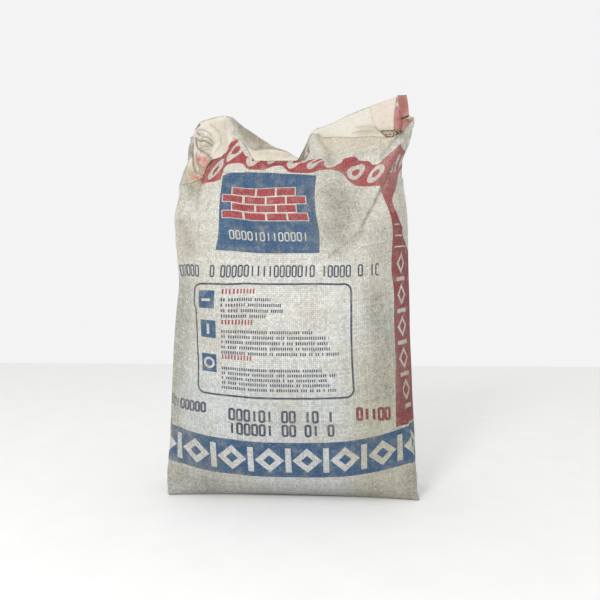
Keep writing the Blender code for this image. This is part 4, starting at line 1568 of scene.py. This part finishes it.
def scatter_tree(material):
    """Put lumps of chance size on the faces of a mesh."""
    tree = bpy.data.node_groups.new("crumb_scatter", "GeometryNodeTree")
    group_input(tree, "Ground", "NodeSocketGeometry")
    inputs = {
        "density": group_input(tree, "Crumbs per square metre", "NodeSocketFloat", 100000.0),
        "radius": group_input(tree, "Largest radius", "NodeSocketFloat", 0.001),
        "seed": group_input(tree, "Seed", "NodeSocketInt", CRUMB_SEED),
    }
    tree.interface.new_socket("Crumbs", in_out="OUTPUT", socket_type="NodeSocketGeometry")
    given, done = tree.nodes.new("NodeGroupInput"), tree.nodes.new("NodeGroupOutput")
    points = tree.nodes.new("GeometryNodeDistributePointsOnFaces")
    lump = tree.nodes.new("GeometryNodeMeshIcoSphere")
    lump.inputs["Subdivisions"].default_value = LUMP_ROUNDNESS
    turn = chance_size(tree, (0, 0, 0), LUMP_TURN)
    size = chance_size(tree, LUMP_LEAST, LUMP_MOST)
    place = tree.nodes.new("GeometryNodeInstanceOnPoints")
    real = tree.nodes.new("GeometryNodeRealizeInstances")
    finish = tree.nodes.new("GeometryNodeSetMaterial")
    finish.inputs["Material"].default_value = material
    link = tree.links.new
    link(given.outputs["Ground"], points.inputs["Mesh"])
    link(given.outputs["Crumbs per square metre"], points.inputs["Density"])
    link(given.outputs["Largest radius"], lump.inputs["Radius"])
    for node in (points, turn, size):
        link(given.outputs["Seed"], node.inputs["Seed"])
    link(points.outputs["Points"], place.inputs["Points"])
    link(lump.outputs["Mesh"], place.inputs["Instance"])
    link(turn.outputs["Value"], place.inputs["Rotation"])
    link(size.outputs["Value"], place.inputs["Scale"])
    link(place.outputs["Instances"], real.inputs["Geometry"])
    link(real.outputs["Geometry"], finish.inputs["Geometry"])
    link(finish.outputs["Geometry"], done.inputs["Crumbs"])
    return tree, inputs


# %% Scatter the crumbs in the mouth
MOUTH = ((384, 131.2), (397, 132.0), (395, 136.4), (387, 136.6))
CRUMB_LIFT = 0.0026
mouth_corners = []
for corner in MOUTH:
    on_bag = bag_surface.ray_cast(Vector(camera_place), ray_through(*corner))[0]
    mouth_corners.append(on_bag + Vector((0, -CRUMB_LIFT, 0)))
ground = new_piece("crumb_ground", mouth_corners, [(0, 3, 2, 1)])
scatter = ground.modifiers.new("scatter", "NODES")
scatter.node_group, inputs = scatter_tree(dry_cement())
scatter[inputs["density"]] = float(CRUMB_DENSITY)
scatter[inputs["radius"]] = CRUMB_RADIUS
scatter[inputs["seed"]] = CRUMB_SEED
crumb_mesh = bpy.data.meshes.new_from_object(ground.evaluated_get(bpy.context.evaluated_depsgraph_get()))
# the lumps bring an empty slot of their own, before the one that the tree gives them
crumb_mesh.materials.pop(index=0)
crumbs = bpy.data.objects.new("cement_crumbs", crumb_mesh)
bpy.context.scene.collection.objects.link(crumbs)
bpy.data.objects.remove(ground)
print("crumbs:", len(crumb_mesh.polygons) // LUMP_FACES, "lumps of", crumb_mesh.materials[0].name)

# %% [markdown]
# ## The base patch
#
# The bag stands on its lower cover patch, which nobody sees unless the bag is
# lifted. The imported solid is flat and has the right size, so it is kept. It has no
# flat places of its own, so the same weave is read straight from its coordinates.

# %% Finish the base patch
def base_weave():
    """The sack's weave on Object coordinates, grey with floor dust."""
    finish = Finish("dusty_base_weave")
    parts = finish.node("ShaderNodeSeparateXYZ")
    finish.feed(parts.inputs[0], finish.place())
    height, tape_tone_glint_and_shade = weave(finish, Wire(parts.outputs[0]), Wire(parts.outputs[1]))
    clouds = finish.noise(finish.place(), 30.0, 4.0, 0.6)
    colour = finish.mix(finish.remap(clouds, 0.35, 0.7), paint(176, 172, 158), paint(132, 126, 112))
    roughness = finish.remap(clouds, 0.3, 0.7, 0.65, 0.90)
    finish.surface(finish.toned(colour, tape_tone_glint_and_shade), roughness, finish.bump(height, 0.0002))
    return finish.material


base_patch = bpy.data.objects["bottom_cover_patch"]
base_material = base_weave()
for slot in base_patch.material_slots:
    slot.material = base_material
print("base patch keeps its solid,", len(base_patch.material_slots), "slot refinished")

# %% [markdown]
# ## The studio
#
# The bag stands on a plain pale floor under an even white sky, as in a shop's
# picture. One soft lamp from the front left gives the folds their shade. The floor
# has a faint grain, so that it doesn't look like an empty page.

# %% Floor, sky and lamp
FLOOR_CORNERS = ((-3, -3, 0), (3, -3, 0), (3, 2, 0), (-3, 2, 0))
FLOOR_PALE = (0.84, 0.84, 0.83)
FLOOR_PALER = (0.90, 0.90, 0.895)
LAMP_PLACE = (-0.7, -2.0, 1.5)
LAMP_AIM = (0, 0, 0.3)
LAMP_WATTS = 24
LAMP_SIZE = 0.5
SKY_STRENGTH = 0.90

floor = new_piece("floor", FLOOR_CORNERS, [(0, 1, 2, 3)])
screed = Finish("pale_floor")
floor_grain = screed.noise(screed.place(), 14.0, 5.0, 0.6)
floor_colour = screed.mix(floor_grain, FLOOR_PALE, FLOOR_PALER)
screed.surface(floor_colour, screed.remap(floor_grain, 0.3, 0.7, 0.75, 0.85))
floor.data.materials.append(screed.material)

light = bpy.data.lights.new("key", "AREA")
light.energy = LAMP_WATTS
light.size = LAMP_SIZE
lamp = bpy.data.objects.new("key", light)
lamp.location = LAMP_PLACE
lamp.rotation_euler = (Vector(LAMP_AIM) - Vector(LAMP_PLACE)).to_track_quat("-Z", "Y").to_euler()
bpy.context.scene.collection.objects.link(lamp)

world = bpy.data.worlds.new("sky")
world.use_nodes = True
sky = world.node_tree.nodes["Background"]
sky.inputs["Color"].default_value = (1, 1, 1, 1)
sky.inputs["Strength"].default_value = SKY_STRENGTH
bpy.context.scene.world = world
bpy.context.scene.view_settings.view_transform = "Standard"
print("studio: a floor, a lamp of", LAMP_WATTS, "W and a white sky")

# %% [markdown]
# ## Tie the pieces to the frame
#
# Every piece rides on the one body, because nothing on the bag moves. The sack and the two upper patches take
# the place of their solids. The sack is cloth round a packed filling. The top patch is cut along the folds,
# and the area of it, the valve patch and the tucked corner is printed.


def cloth_area(piece):
    """The area of a thin closed shell, counted on one side."""
    return sum(face.area for face in piece.data.polygons) / 2


for piece in (top_patch, valve_patch, tucked_corner):
    print(piece.name, "area", round(cloth_area(piece) * 10000, 1), "square centimetres")
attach(sack, "root")
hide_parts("sack")
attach(top_patch, "root")
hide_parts("top_cover_patch")
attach(valve_patch, "root")
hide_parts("valve_patch")
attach(tucked_corner, "root")
cloth_area(top_patch)
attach(crumbs, "root")
